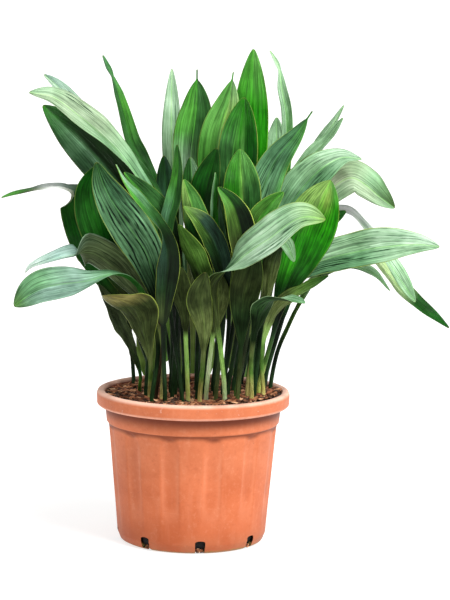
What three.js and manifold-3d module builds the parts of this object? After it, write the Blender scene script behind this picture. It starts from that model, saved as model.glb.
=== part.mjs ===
import * as THREE from "three";
import Module from "manifold-3d";

const wasm = await Module();
wasm.setup();

// Lengths are in millimetres, angles in degrees. The origin is the middle of the pot's underside.
const potTurns = 72;
const soilTurns = 36;
const floorThickness = 3;
const soilGap = 0.3;

// Pot outline from the middle of the underside, up the outside, over the rim and down the inside.
const potOutline = [
  [0, 0],
  [98, 0],
  [104, 3],
  [108, 13],
  [111, 50],
  [116, 105],
  [120, 150],
  [121.8, 168],
  [122.6, 173],
  [125.2, 175],
  [127.8, 198],
  [136.5, 198.5],
  [139.5, 201],
  [140, 215],
  [138.5, 219.5],
  [134.5, 221],
  [130, 220],
  [128, 217],
  [125, 201],
  [122, 178],
  [118.5, 172],
  [104, 14],
  [97, floorThickness],
  [0, floorThickness],
];

const fluteCount = 12;
const fluteDepth = 2.2;
const fluteHalfWidth = 14;
const fluteFoot = 18;
const fluteHead = 170;

const notchCount = 8;
const notchFirst = -82.4;
const notchWidth = 12.4;
const notchHeight = 20;

const soilLevel = 212;
const soilHeap = 7;
const rootDepth = 24;
const holeClearance = 0.8;
const holeFloorGap = 0.3;

const stalkHalfWidth = 3.2;
const stalkThickness = 4.8;
const stalkEdge = 2.2;
const tipHalfWidth = 1.2;
const bladeEdge = 0.8;
const ribAtTip = 1;
const stalkSteps = 3;
const bladeSteps = 11;
const usualFold = 14;
const usualBroad = 0.64;

// Where the plant is looked at from. A leaf's points are given as [x, z, y]: x and z are where the point
// is seen against the upright plane through the pot's middle, y is how far behind that plane it lies.
const eye = new THREE.Vector3(44, -3600, 850);

const tones = {
  bright: "#4d8a38",
  deep: "#2f5f2e",
  mid: "#3f7536",
  pale: "#9fc4a4",
  ribbed: "#4a8c40",
  lime: "#8cab4b",
  blue: "#7aa096",
  dark: "#23442a",
  olive: "#5d6c38",
};

// Each leaf: the spot where its stalk leaves the soil, its course from the neck of the blade to the tip,
// the blade's greatest width, and the ways its upper side faces from neck to tip, spread evenly along the
// blade or at the shares in faceAt.
const leaves = [
  { name: "leaf_top_1", foot: [58, 15], width: 54, tone: "bright", broad: 0.67,
    seen: [[76, 353, 30], [77, 469, 35], [76, 584, 45], [77, 648, 62], [79, 714, 80]],
    faces: [[0, -10, 1], [1, -10, 2]] },
  { name: "leaf_top_2", foot: [43, -5], width: 60, tone: "deep", broad: 0.7,
    seen: [[60, 352, -5], [58, 461, -8], [59, 569, 2], [67, 645, 25]],
    faces: [[-1, -10, 1], [1, -10, 3]] },
  { name: "leaf_top_3", foot: [50, -34], width: 56, tone: "mid", broad: 0.7,
    seen: [[67, 338, -45], [69, 425, -55], [66, 505, -55], [62, 571, -35]],
    faces: [[0, -10, 1], [0, -9, 4]] },
  { name: "leaf_top_4", foot: [28, 20], width: 58, tone: "bright", broad: 0.68, spike: 0.04,
    seen: [[40, 352, 18], [31, 468, 22], [31, 580, 32], [44, 635, 44], [51, 681, 60]],
    faces: [[-1, -10, 1], [-3, -10, 2]] },
  { name: "leaf_top_5", foot: [5, 45], width: 58, tone: "mid", broad: 0.72, spike: 0.05,
    seen: [[8, 351, 50], [-4, 467, 55], [-7, 568, 70], [-1, 628, 86], [-1, 684, 108]],
    faces: [[0, -10, 1], [-1, -10, 3]] },
  { name: "leaf_top_6", foot: [-12, 75], width: 32, tone: "pale",
    seen: [[-15, 351, 90], [-28, 467, 115], [-36, 582, 140], [-37, 684, 170]],
    faces: [[1, -10, 1], [2, -10, 2]] },
  { name: "leaf_top_7", foot: [66, 68], width: 42, tone: "pale", broad: 0.7,
    seen: [[97, 353, 95], [107, 469, 130], [114, 549, 160], [114, 617, 190]],
    faces: [[0, -10, 2], [-2, -8, 6]] },
  { name: "leaf_top_8", foot: [81, 50], width: 19, tone: "mid",
    seen: [[100, 353, 62], [117, 469, 78], [128, 570, 92], [127, 625, 98], [120, 659, 103],
      [116, 684, 106], [111, 697, 107], [102, 712, 108]],
    faces: [[3, -9, 1], [3, -9, 2], [8, -3, 4], [3, -8, 3], [3, -8, 3]], faceAt: [0, 0.84, 0.915, 0.95, 1] },
  { name: "leaf_left_1", foot: [-26, -8], width: 60, tone: "pale", broad: 0.75,
    seen: [[-25, 351, -20], [-54, 472, -32], [-84, 530, -38], [-119, 572, -40], [-169, 613, -38],
      [-208, 641, -36], [-241, 647, -34]],
    faces: [[7, -6, 2], [6, -4, 7], [6, -4, 7], [4, -6, 7]] },
  { name: "leaf_left_2", foot: [-16, 4], width: 36, tone: "pale", broad: 0.8,
    seen: [[-12, 351, 10], [-43, 483, 8], [-75, 536, 6], [-116, 576, 5], [-166, 621, 5],
      [-204, 660, 5], [-220, 673, 5]],
    faces: [[7, -6, 2], [6, -4, 7], [6, -4, 7], [4, -6, 7]] },
  { name: "leaf_left_3", foot: [-33, 14], width: 68, tone: "deep", broad: 0.68,
    seen: [[-35, 343, 22], [-77, 466, 34], [-136, 547, 42], [-180, 592, 46], [-221, 629, 52]],
    faces: [[3, -10, 1], [1, -9, 4]] },
  { name: "leaf_left_4", foot: [-21, 50], width: 27, tone: "mid", broad: 0.56,
    seen: [[-30, 351, 58], [-53, 488, 64], [-81, 557, 68], [-93, 581, 69], [-111, 642, 70],
      [-123, 674, 71], [-130, 689, 72], [-136, 702, 72]],
    faces: [[4, -8, 2], [5, -8, 3], [8, -3, 4], [3, -8, 3], [3, -8, 3]], faceAt: [0, 0.84, 0.91, 0.95, 1] },
  { name: "leaf_left_5", foot: [-55, 22], width: 58, tone: "deep", broad: 0.45,
    seen: [[-96, 332, 10], [-128, 390, 5], [-155, 436, 5], [-167, 471, 8], [-175, 497, 6],
      [-187, 508, 2], [-217, 510, -5], [-250, 503, -12], [-280, 495, -20]],
    faces: [[2, -10, 2], [2, -10, 2], [8, 1, 6], [0, 0.3, 10], [0, -3, 10]], faceAt: [0, 0.61, 0.66, 0.84, 1] },
  { name: "leaf_left_6", foot: [-68, -20], width: 58, tone: "bright", broad: 0.68,
    seen: [[-70, 314, -40], [-111, 386, -56], [-140, 454, -66], [-152, 506, -72], [-144, 543, -72]],
    faces: [[3, -9, 1], [1, -10, 2]] },
  { name: "leaf_left_7", foot: [-44, -60], width: 60, tone: "ribbed", broad: 0.6,
    seen: [[-44, 314, -80], [-68, 411, -105], [-94, 454, -122], [-118, 489, -132], [-134, 519, -137],
      [-144, 549, -140]],
    faces: [[0, -10, 2], [-1, -8, 5]] },
  { name: "leaf_left_8", foot: [-39, -78], width: 36, tone: "lime", broad: 0.42, wave: 2.5,
    seen: [[-45, 314, -107], [-44, 351, -115], [-40, 406, -130], [-47, 447, -142], [-75, 487, -155],
      [-104, 522, -165], [-116, 546, -170]],
    faces: [[2, -9, 1], [3, -9, 2], [9, -4, 5], [8, -4, 6]], faceAt: [0, 0.34, 0.58, 1] },
  { name: "leaf_left_9", foot: [-30, -30], width: 42, tone: "mid",
    seen: [[-25, 336, -48], [-33, 406, -66], [-47, 464, -84], [-72, 500, -95], [-104, 535, -105]],
    faces: [[3, -9, 2], [4, -7, 6]] },
  { name: "leaf_left_10", foot: [-53, -50], width: 62, tone: "pale", broad: 0.6,
    seen: [[-45, 310, -62], [-64, 343, -76], [-91, 372, -88], [-118, 399, -100], [-149, 417, -110],
      [-179, 414, -114], [-211, 405, -117], [-237, 395, -117], [-245, 387, -117]],
    faces: [[3, 9, 2], [4, 8, 4], [-1, -2, 10], [-1, -2, 10]], faceAt: [0, 0.64, 0.71, 1] },
  { name: "leaf_left_11", foot: [-58, -78], width: 58, tone: "pale", broad: 0.79,
    seen: [[-52, 285, -92], [-67, 341, -102], [-88, 376, -114], [-111, 386, -126], [-154, 377, -142],
      [-196, 370, -152], [-228, 361, -158], [-261, 338, -160]],
    faces: [[3, 9, 2], [1, 3, 9], [-1, -7, 7], [-1, -8, 6]], faceAt: [0, 0.35, 0.7, 1] },
  { name: "leaf_left_12", foot: [-78, 5], width: 46, tone: "deep",
    seen: [[-78, 245, -30], [-94, 284, -50], [-118, 328, -65], [-140, 372, -75]],
    faces: [[8, -5, 2], [9, -3, 3]] },
  { name: "leaf_mid_1", foot: [-15, -62], width: 26, tone: "blue",
    seen: [[-35, 336, -75], [-42, 406, -92], [-40, 464, -100], [-30, 503, -100], [-26, 542, -95],
      [-28, 576, -88]],
    faces: [[-5, -8, 1], [-5, -8, 1]] },
  { name: "leaf_mid_2", foot: [-12, 18], width: 34, tone: "mid", broad: 0.7,
    seen: [[-21, 344, 21], [-37, 452, 20], [-47, 560, 20]],
    faces: [[0, -10, 1], [0, -10, 1]] },
  { name: "leaf_mid_3", foot: [14, -15], width: 40, tone: "lime",
    seen: [[20, 344, -38], [7, 431, -52], [-4, 482, -62], [-18, 526, -68]],
    faces: [[2, -10, 1], [4, -9, 1]] },
  { name: "leaf_mid_4", foot: [33, -52], width: 38, tone: "lime",
    seen: [[43, 337, -66], [39, 399, -76], [25, 438, -86], [6, 465, -92], [-18, 487, -98]],
    faces: [[2, -9, 2], [2, -7, 7]] },
  { name: "leaf_mid_5", foot: [20, 2], width: 48, tone: "dark",
    seen: [[25, 349, -12], [12, 446, -18], [13, 511, -18], [29, 572, -8]],
    faces: [[-2, -10, 0], [-3, -9, 0]] },
  { name: "leaf_mid_6", foot: [31, -25], width: 24, tone: "blue",
    seen: [[33, 340, -30], [24, 446, -40], [27, 537, -42]],
    faces: [[8, -5, 2], [8, -5, 2]] },
  { name: "leaf_mid_7", foot: [62, -58], width: 44, tone: "dark",
    seen: [[77, 309, -76], [71, 408, -88], [62, 466, -94], [50, 493, -96], [31, 516, -98]],
    faces: [[2, -10, 1], [4, -8, 3]] },
  { name: "leaf_mid_8", foot: [78, -45], width: 40, tone: "olive",
    seen: [[87, 316, -62], [79, 425, -70], [90, 467, -76], [107, 492, -80], [126, 510, -84]],
    faces: [[0, -10, 1], [2, -9, 3]] },
  { name: "leaf_mid_9", foot: [66, -15], width: 52, tone: "deep", broad: 0.5, spike: 0.05,
    seen: [[73, 352, -25], [81, 462, -22], [111, 550, -10], [143, 594, 3], [165, 627, 15]],
    faces: [[1, -10, 2], [2, -9, 3]] },
  { name: "leaf_mid_10", foot: [4, 20], width: 36, tone: "deep", broad: 0.7,
    seen: [[5, 351, 18], [-1, 467, 20], [-9, 558, 25]],
    faces: [[0, -10, 1], [0, -10, 1]] },
  { name: "leaf_right_1", foot: [84, 5], width: 62, tone: "mid",
    seen: [[98, 346, 8], [121, 462, 18], [163, 528, 35], [206, 560, 52], [237, 559, 62]],
    faces: [[2, -9, 2], [1, -7, 7], [1, -5, 8]] },
  { name: "leaf_right_2", foot: [92, 30], width: 57, tone: "pale", broad: 0.76,
    seen: [[112, 338, 35], [155, 427, 50], [178, 495, 62], [201, 521, 70], [222, 532, 77],
      [243, 522, 84], [263, 506, 88], [286, 489, 90]],
    faces: [[-4, -7, 4], [0, -7, 5], [4, -8, 5]] },
  { name: "leaf_right_3", foot: [94, -28], width: 76, tone: "bright", broad: 0.7,
    seen: [[114, 302, -36], [128, 365, -42], [147, 412, -48], [169, 473, -52], [193, 528, -42]],
    faces: [[1, -10, 1], [2, -9, 3]] },
  { name: "leaf_right_4", foot: [101, -10], width: 62, tone: "pale", broad: 0.6,
    seen: [[128, 327, -12], [146, 390, -18], [177, 409, -24], [223, 423, -32], [283, 434, -42],
      [324, 437, -47], [352, 434, -50]],
    faces: [[-3, -7, 5], [-1, -8, 6], [0, -8, 6]] },
  { name: "leaf_right_5", foot: [101, 48], width: 44, tone: "pale", broad: 0.74,
    seen: [[131, 353, 60], [158, 434, 80], [190, 481, 92], [219, 483, 98], [239, 466, 103],
      [266, 428, 107], [293, 391, 110], [319, 353, 110]],
    faces: [[-6, -3, 6], [3, 0, 9], [6, -3, 7], [5, -7, 5]] },
  { name: "leaf_right_6", foot: [95, 60], width: 33, tone: "deep", broad: 0.7,
    seen: [[138, 353, 95], [187, 418, 120], [243, 426, 135], [299, 371, 143], [333, 343, 146],
      [369, 316, 148]],
    faces: [[-4, -2, 8], [0, -4, 8], [4, -6, 6]] },
  { name: "leaf_right_7", foot: [84, 62], width: 34, tone: "mid",
    seen: [[106, 346, 80], [122, 440, 95], [143, 516, 108], [165, 562, 118], [191, 591, 128],
      [209, 618, 135]],
    faces: [[-3, -7, 5], [-3, -4, 8]] },
  { name: "leaf_right_8", foot: [70, 86], width: 24, tone: "mid",
    seen: [[100, 353, 125], [116, 433, 145], [149, 528, 160], [177, 581, 170], [195, 609, 178],
      [210, 636, 185]],
    faces: [[-3, -7, 5], [-3, -4, 8]] },
  { name: "leaf_right_9", foot: [101, -40], width: 27, tone: "olive",
    seen: [[99, 287, -50], [121, 342, -65], [155, 368, -78], [193, 390, -88]],
    faces: [[-4, 9, 2], [-3, 6, 7]] },
  { name: "leaf_right_10", foot: [104, 32], width: 30, tone: "dark", broad: 0.7,
    seen: [[128, 353, 20], [154, 419, 20], [182, 459, 22], [216, 484, 28]],
    faces: [[-2, -8, 4], [-2, -7, 5]] },
  { name: "leaf_right_11", foot: [112, 10], width: 18, tone: "dark", broad: 0.75,
    seen: [[121, 277, 6], [134, 310, 2], [148, 341, -2], [172, 383, -4], [216, 404, -4],
      [255, 396, -2], [282, 369, 0]],
    faces: [[-2, -7, 5], [2, -4, 8]] },
  { name: "leaf_front_1", foot: [-62, -42], width: 64, tone: "olive",
    seen: [[-63, 261, -88], [-71, 298, -105], [-83, 334, -145], [-129, 356, -215]],
    faces: [[2, 10, 1], [-1, 2, 10]] },
  { name: "leaf_front_2", foot: [-7, -52], width: 30, tone: "olive", broad: 0.7,
    seen: [[-12, 296, -85], [-15, 334, -100], [-20, 368, -112], [-21, 399, -120]],
    faces: [[3, 9, 1], [-4, 9, 2]] },
  { name: "leaf_front_3", foot: [10, -60], width: 38, tone: "olive", broad: 0.65,
    seen: [[14, 273, -100], [14, 315, -115], [8, 354, -130], [15, 392, -140]],
    faces: [[0, 10, 1], [-5, 9, 2]] },
  { name: "leaf_front_4", foot: [46, -68], width: 62, tone: "pale", broad: 0.74,
    seen: [[39, 279, -90], [31, 326, -98], [26, 374, -104], [60, 409, -136], [106, 443, -166],
      [153, 474, -185], [187, 471, -190]],
    faces: [[0, 10, 1], [-1, 3, 8], [-3, -7, 5], [-2, -7, 6]], faceAt: [0, 0.33, 0.55, 1] },
  { name: "leaf_front_5", foot: [19, -42], width: 28, tone: "olive",
    seen: [[27, 296, -68], [35, 345, -76], [39, 387, -82]],
    faces: [[0, 10, 0], [0, 10, 0]] },
  { name: "leaf_front_6", foot: [64, -80], width: 46, tone: "olive",
    seen: [[68, 282, -98], [70, 345, -112], [78, 389, -122], [88, 425, -128]],
    faces: [[-1, 10, 1], [0, 9, 4]] },
  { name: "leaf_front_7", foot: [84, -70], width: 46, tone: "olive", broad: 0.72,
    seen: [[84, 279, -94], [92, 321, -110], [103, 347, -130], [128, 353, -142], [160, 349, -155]],
    faces: [[-3, 10, 1], [-1, 4, 9], [0, -2, 10]] },
  { name: "leaf_front_8", foot: [6, -38], width: 36, tone: "lime",
    seen: [[20, 300, -56], [16, 363, -66], [0, 412, -92], [-25, 461, -112]],
    faces: [[1, 10, 1], [5, 8, 2]] },
  { name: "leaf_front_9", foot: [88, -50], width: 30, tone: "pale",
    seen: [[98, 324, -76], [106, 375, -86], [116, 423, -108], [128, 438, -128], [143, 409, -140]],
    faces: [[0, 9, 1], [0, 1, 10], [2, -9, 3]] },
  { name: "leaf_back_1", foot: [-88, 45], width: 58, tone: "mid", broad: 0.68,
    seen: [[-91, 284, 60], [-104, 376, 90], [-129, 451, 130], [-149, 483, 178], [-161, 456, 215],
      [-166, 404, 236]],
    faces: [[5, -5, 5], [0, -1, 10], [-3, 4, 8], [-5, 7, 4]] },
  { name: "leaf_back_2", foot: [-33, 98], width: 46, tone: "deep", broad: 0.76,
    seen: [[-39, 292, 115], [-54, 353, 148], [-60, 368, 178], [-63, 339, 208], [-62, 286, 226],
      [-60, 224, 232]],
    faces: [[2, -8, 3], [0, -1, 10], [-2, 8, 5]] },
  { name: "leaf_back_3", foot: [-9, 92], width: 64, tone: "deep", broad: 0.72,
    seen: [[-9, 307, 115], [-20, 398, 170], [-28, 441, 225], [-32, 406, 285], [-35, 336, 322],
      [-40, 260, 336]],
    faces: [[0, -9, 3], [0, -1, 10], [-1, 8, 5]] },
  { name: "leaf_back_4", foot: [16, 72], width: 66, tone: "mid", broad: 0.8,
    seen: [[20, 315, 100], [12, 378, 142], [3, 401, 180], [-1, 363, 216], [0, 293, 238],
      [4, 216, 244]],
    faces: [[0, -9, 3], [0, -1, 10], [0, 8, 5]] },
  { name: "leaf_back_5", foot: [45, 84], width: 62, tone: "deep", broad: 0.72,
    seen: [[50, 320, 115], [47, 413, 165], [51, 460, 226], [57, 419, 292], [63, 346, 334],
      [71, 276, 352]],
    faces: [[0, -9, 3], [0, -1, 10], [1, 8, 5]] },
  { name: "leaf_back_6", foot: [80, 78], width: 58, tone: "mid",
    seen: [[89, 353, 105], [93, 462, 176], [95, 512, 236], [106, 498, 290]],
    faces: [[-2, -8, 3], [0, -3, 10], [1, 5, 8]] },
  { name: "leaf_back_7", foot: [50, 100], width: 60, tone: "deep", broad: 0.8,
    seen: [[67, 287, 115], [74, 355, 152], [77, 376, 188], [78, 335, 226], [76, 279, 246],
      [69, 220, 252]],
    faces: [[-2, -8, 3], [0, -1, 10], [1, 8, 5]] },
];

const radians = THREE.MathUtils.degToRad;

function solidFrom(positions, triangles) {
  const vertProperties = new Float32Array(positions);
  const triVerts = new Uint32Array(triangles);
  return new wasm.Manifold(new wasm.Mesh({ numProp: 3, vertProperties, triVerts }));
}

// Rings of points round the upright axis, joined one to the next. A ring of radius 0 is a single point.
function revolve(outline, turns, shape) {
  const positions = [];
  const triangles = [];
  const rings = [];
  for (const [radius, height] of outline) {
    const count = radius === 0 ? 1 : turns;
    rings.push({ start: positions.length / 3, count });
    for (let i = 0; i < count; i += 1) {
      const angle = (i / turns) * 2 * Math.PI;
      const [r, z] = shape(radius, height, angle);
      positions.push(r * Math.cos(angle), r * Math.sin(angle), z);
    }
  }
  for (let j = 0; j + 1 < rings.length; j += 1) {
    const a = rings[j];
    const b = rings[j + 1];
    for (let i = 0; i < turns; i += 1) {
      const next = (i + 1) % turns;
      const aHere = a.start + (a.count > 1 ? i : 0);
      const aNext = a.start + (a.count > 1 ? next : 0);
      const bHere = b.start + (b.count > 1 ? i : 0);
      const bNext = b.start + (b.count > 1 ? next : 0);
      if (a.count > 1) triangles.push(aHere, aNext, bNext);
      if (b.count > 1) triangles.push(aHere, bNext, bHere);
    }
  }
  return solidFrom(positions, triangles);
}

// How far the outer wall is pressed in at a height and angle: a row of shallow upright flutes.
function flutePress(radius, height, angle) {
  if (height < fluteFoot || height > fluteHead) return 0;
  const pitch = (2 * Math.PI) / fluteCount;
  const turn = angle - pitch / 2;
  const fromMiddle = (turn - pitch * Math.round(turn / pitch)) * radius;
  const across = Math.max(0, 1 - (fromMiddle / fluteHalfWidth) ** 2);
  const along = Math.min(1, (height - fluteFoot) / 60);
  return fluteDepth * Math.sqrt(across) * along;
}

function notchCutter(angle) {
  const shape = new THREE.Shape();
  const half = notchWidth / 2;
  shape.moveTo(-half, -2);
  shape.lineTo(half, -2);
  shape.lineTo(half, notchHeight - half);
  shape.absarc(0, notchHeight - half, half, 0, Math.PI, false);
  shape.lineTo(-half, -2);
  const slab = new THREE.ExtrudeGeometry(shape, { depth: 40, bevelEnabled: false, curveSegments: 8 });
  slab.rotateX(Math.PI / 2);
  slab.rotateZ(angle + Math.PI / 2);
  slab.translate(90 * Math.cos(angle), 90 * Math.sin(angle), 0);
  return solidFromGeometry(slab);
}

function solidFromGeometry(geometry) {
  const points = geometry.getAttribute("position");
  const count = geometry.index ? geometry.index.count : points.count;
  const seen = new Map();
  const positions = [];
  const corners = [];
  for (let i = 0; i < count; i += 1) {
    const source = geometry.index ? geometry.index.getX(i) : i;
    const spot = [points.getX(source), points.getY(source), points.getZ(source)];
    const key = spot.map((value) => Math.round(value * 1e4)).join(",");
    if (!seen.has(key)) {
      seen.set(key, positions.length / 3);
      positions.push(...spot);
    }
    corners.push(seen.get(key));
  }
  const triangles = [];
  for (let i = 0; i < corners.length; i += 3) {
    const [a, b, c] = corners.slice(i, i + 3);
    if (a !== b && b !== c && c !== a) triangles.push(a, b, c);
  }
  return solidFrom(positions, triangles);
}

function makePot() {
  let pot = revolve(potOutline, potTurns, (radius, height, angle) => {
    const outside = potOutline.findIndex(([r, z]) => r === radius && z === height) < 9;
    return [outside ? radius - flutePress(radius, height, angle) : radius, height];
  });
  for (let i = 0; i < notchCount; i += 1) {
    pot = pot.subtract(notchCutter(radians(notchFirst + (i * 360) / notchCount)));
  }
  return pot;
}

// Radius of the pot's inner wall at a height.
function innerRadius(height) {
  const wall = potOutline.slice(17, 23).reverse();
  for (let i = 0; i + 1 < wall.length; i += 1) {
    const [lowRadius, lowHeight] = wall[i];
    const [highRadius, highHeight] = wall[i + 1];
    if (height <= highHeight) {
      const share = (height - lowHeight) / (highHeight - lowHeight);
      return lowRadius + (highRadius - lowRadius) * share;
    }
  }
  return wall.at(-1)[0];
}

// Height of the soil: nearly level, gently uneven, heaped towards the right.
function soilHeight(x, y) {
  const heap = soilHeap * Math.exp(-(((x - 95) / 55) ** 2 + ((y + 40) / 60) ** 2));
  return soilLevel + heap + 1.6 * Math.sin(x / 17 + 1) * Math.cos(y / 21);
}

function makeSoil() {
  const outline = [[0, floorThickness + soilGap], [97 - soilGap, floorThickness + soilGap]];
  for (const height of [14, 172, 178, 201]) {
    outline.push([innerRadius(height) - soilGap, height]);
  }
  const topRings = [1, 0.82, 0.62, 0.42, 0.2, 0];
  for (const share of topRings) outline.push([share * 125, 300 + share]);
  let soil = revolve(outline, soilTurns, (radius, height, angle) => {
    if (height < 300) return [radius, height];
    const level = soilHeight(radius * Math.cos(angle), radius * Math.sin(angle));
    return [radius === 125 ? innerRadius(level) - soilGap : radius, level];
  });
  for (const leaf of leaves) soil = soil.subtract(stalkHole(leaf));
  return soil;
}

function seenPoint([x, z, y]) {
  const reach = (y - eye.y) / -eye.y;
  return new THREE.Vector3(eye.x + (x - eye.x) * reach, y, eye.z + (z - eye.z) * reach);
}

// Places along a leaf from root to tip, each with its middle, direction, upper side and width direction.
function leafStations(leaf) {
  const [x, y] = leaf.foot;
  const ground = soilHeight(x, y);
  const points = [new THREE.Vector3(x, y, ground - 20), new THREE.Vector3(x, y, ground + 6)];
  for (const spot of leaf.seen) points.push(seenPoint(spot));
  const curve = new THREE.CatmullRomCurve3(points);
  const spans = points.length - 1;
  const fineSteps = 60 * spans;
  const lengths = [0];
  let previous = curve.getPoint(1 / spans);
  for (let i = 61; i <= fineSteps; i += 1) {
    const here = curve.getPoint(i / fineSteps);
    lengths.push(lengths.at(-1) + here.distanceTo(previous));
    previous = here;
  }
  const atLength = (length) => {
    let i = 1;
    while (i < lengths.length - 1 && lengths[i] < length) i += 1;
    const share = (length - lengths[i - 1]) / (lengths[i] - lengths[i - 1]);
    return Math.min(1, (i - 1 + share + 60) / fineSteps);
  };
  const neck = lengths[60];
  const end = lengths.at(-1);
  const stations = [];
  const addStation = (middle, direction, blade) => {
    const marks = leaf.faceAt ?? leaf.faces.map((face, i) => i / (leaf.faces.length - 1));
    let first = 0;
    while (first < marks.length - 2 && marks[first + 1] < blade) first += 1;
    const share = (blade - marks[first]) / (marks[first + 1] - marks[first]);
    const upper = new THREE.Vector3(...leaf.faces[first]).normalize();
    upper.lerp(new THREE.Vector3(...leaf.faces[first + 1]).normalize(), share);
    upper.addScaledVector(direction, -upper.dot(direction)).normalize();
    const across = new THREE.Vector3().crossVectors(direction, upper);
    stations.push({ middle, across, upper, blade });
  };
  const up = new THREE.Vector3(0, 0, 1);
  addStation(new THREE.Vector3(x, y, ground - rootDepth), up, 0);
  for (let i = 0; i < stalkSteps; i += 1) {
    const u = atLength((neck * i) / stalkSteps);
    addStation(curve.getPoint(u), i === 0 ? up : curve.getTangent(u), 0);
  }
  for (let i = 0; i <= bladeSteps; i += 1) {
    // the steps get shorter towards the tip
    const share = (0.6 * i) / bladeSteps + 0.4 * Math.sin((Math.PI * i) / bladeSteps / 2);
    const u = atLength(neck + (end - neck) * share);
    addStation(curve.getPoint(u), curve.getTangent(u), share);
  }
  return stations;
}

// Half the leaf's width at a share of the blade's length: a long oval, broadest at the share leaf.broad, with
// the share leaf.spike drawn out to a thin point.
function halfWidth(leaf, blade) {
  const rise = Math.log(0.5) / Math.log(leaf.broad ?? usualBroad);
  const share = Math.min(1, blade / (1 - (leaf.spike ?? 0)));
  const oval = Math.max(0, Math.sin(Math.PI * share ** rise)) ** 0.8;
  const least = stalkHalfWidth + (tipHalfWidth - stalkHalfWidth) * blade;
  return least + (leaf.width / 2 - least) * oval;
}

function sectionAt(leaf, station) {
  const { middle, across, upper, blade } = station;
  const half = halfWidth(leaf, blade);
  const opened = Math.min(1, blade * 5);
  const fold = radians(leaf.fold ?? usualFold) * opened;
  const reach = half * Math.cos(fold);
  const wave = (leaf.wave ?? 0) * Math.sin(blade * 15) * Math.sin(Math.PI * blade);
  const lift = half * Math.sin(fold);
  const rib = stalkThickness + (ribAtTip - stalkThickness) * Math.min(1, blade * 1.4) ** 0.6;
  const edge = stalkEdge + (bladeEdge - stalkEdge) * opened;
  const spot = (side, height) => middle.clone().addScaledVector(across, side).addScaledVector(upper, height);
  return [
    spot(-reach, lift + wave + edge / 2),
    spot(0, rib / 2),
    spot(reach, lift - wave + edge / 2),
    spot(reach, lift - wave - edge / 2),
    spot(0, -rib / 2),
    spot(-reach, lift + wave - edge / 2),
  ];
}

function makeLeaf(leaf) {
  const sections = leafStations(leaf).map((station) => sectionAt(leaf, station));
  const positions = sections.flat().flatMap((spot) => spot.toArray());
  const triangles = [0, 4, 1, 0, 5, 4, 1, 3, 2, 1, 4, 3];
  for (let j = 0; j + 1 < sections.length; j += 1) {
    for (let i = 0; i < 6; i += 1) {
      const next = (i + 1) % 6;
      const a = j * 6 + i;
      const aNext = j * 6 + next;
      const b = a + 6;
      const bNext = aNext + 6;
      // the lower side is split along the same lines as the upper side
      if (i < 3) triangles.push(a, aNext, bNext, a, bNext, b);
      else triangles.push(a, aNext, b, aNext, bNext, b);
    }
  }
  const last = (sections.length - 1) * 6;
  for (const corner of [0, 1, 4, 0, 4, 5, 1, 2, 3, 1, 3, 4]) triangles.push(last + corner);
  return solidFrom(positions, triangles);
}

// A plain upright hole for a stalk, a little larger all round, open at the top.
function stalkHole(leaf) {
  const [foot] = leafStations(leaf);
  const { middle, across, upper } = foot;
  const side = stalkHalfWidth + holeClearance;
  const edge = stalkEdge / 2 + holeClearance;
  const rib = stalkThickness / 2 + holeClearance;
  const outline = [[-side, edge], [0, rib], [side, edge], [side, -edge], [0, -rib], [-side, -edge]];
  const positions = [];
  for (const height of [-holeFloorGap, 60]) {
    for (const [s, h] of outline) {
      const spot = middle.clone().addScaledVector(across, s).addScaledVector(upper, h);
      positions.push(spot.x, spot.y, spot.z + height);
    }
  }
  const triangles = [];
  for (let i = 0; i < 6; i += 1) {
    const next = (i + 1) % 6;
    triangles.push(i, next, next + 6, i, next + 6, i + 6);
  }
  for (let i = 1; i < 5; i += 1) triangles.push(0, i + 1, i, 6, i + 6, i + 7);
  return solidFrom(positions, triangles);
}

function meshFrom(solid, name, colour, roughness) {
  const { vertProperties, triVerts, numProp } = solid.getMesh();
  const geometry = new THREE.BufferGeometry();
  const positions = new Float32Array((vertProperties.length / numProp) * 3);
  for (let i = 0; i < positions.length / 3; i += 1) {
    for (let k = 0; k < 3; k += 1) positions[i * 3 + k] = vertProperties[i * numProp + k];
  }
  geometry.setAttribute("position", new THREE.BufferAttribute(positions, 3));
  geometry.setIndex(Array.from(triVerts));
  geometry.computeVertexNormals();
  const material = new THREE.MeshStandardMaterial({ color: colour, roughness, metalness: 0 });
  const mesh = new THREE.Mesh(geometry, material);
  mesh.name = name;
  return mesh;
}

const plant = new THREE.Group();
plant.name = "potted_cast_iron_plant";
plant.add(meshFrom(makePot(), "pot", "#b4552f", 0.6));
plant.add(meshFrom(makeSoil(), "soil", "#4a2c1c", 0.95));
for (const leaf of leaves) plant.add(meshFrom(makeLeaf(leaf), leaf.name, tones[leaf.tone], 0.35));

export default plant;
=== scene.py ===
import math

import bpy
import numpy as np
from mathutils import Matrix, Vector


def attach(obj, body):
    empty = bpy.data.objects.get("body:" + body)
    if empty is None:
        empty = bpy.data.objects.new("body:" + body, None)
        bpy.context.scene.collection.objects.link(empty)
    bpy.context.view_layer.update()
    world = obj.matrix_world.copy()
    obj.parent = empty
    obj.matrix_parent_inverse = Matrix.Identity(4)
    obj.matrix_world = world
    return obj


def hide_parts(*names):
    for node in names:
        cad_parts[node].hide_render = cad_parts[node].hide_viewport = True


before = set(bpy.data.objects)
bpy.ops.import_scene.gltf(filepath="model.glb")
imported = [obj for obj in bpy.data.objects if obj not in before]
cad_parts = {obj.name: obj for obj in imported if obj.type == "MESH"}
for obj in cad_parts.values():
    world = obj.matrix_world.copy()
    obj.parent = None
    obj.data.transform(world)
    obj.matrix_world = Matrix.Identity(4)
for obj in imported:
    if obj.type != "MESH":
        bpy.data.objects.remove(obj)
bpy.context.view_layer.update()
mm = 0.001
print("frame loaded,", len(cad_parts), "nodes")

# the camera stands where the photograph was taken from

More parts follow.
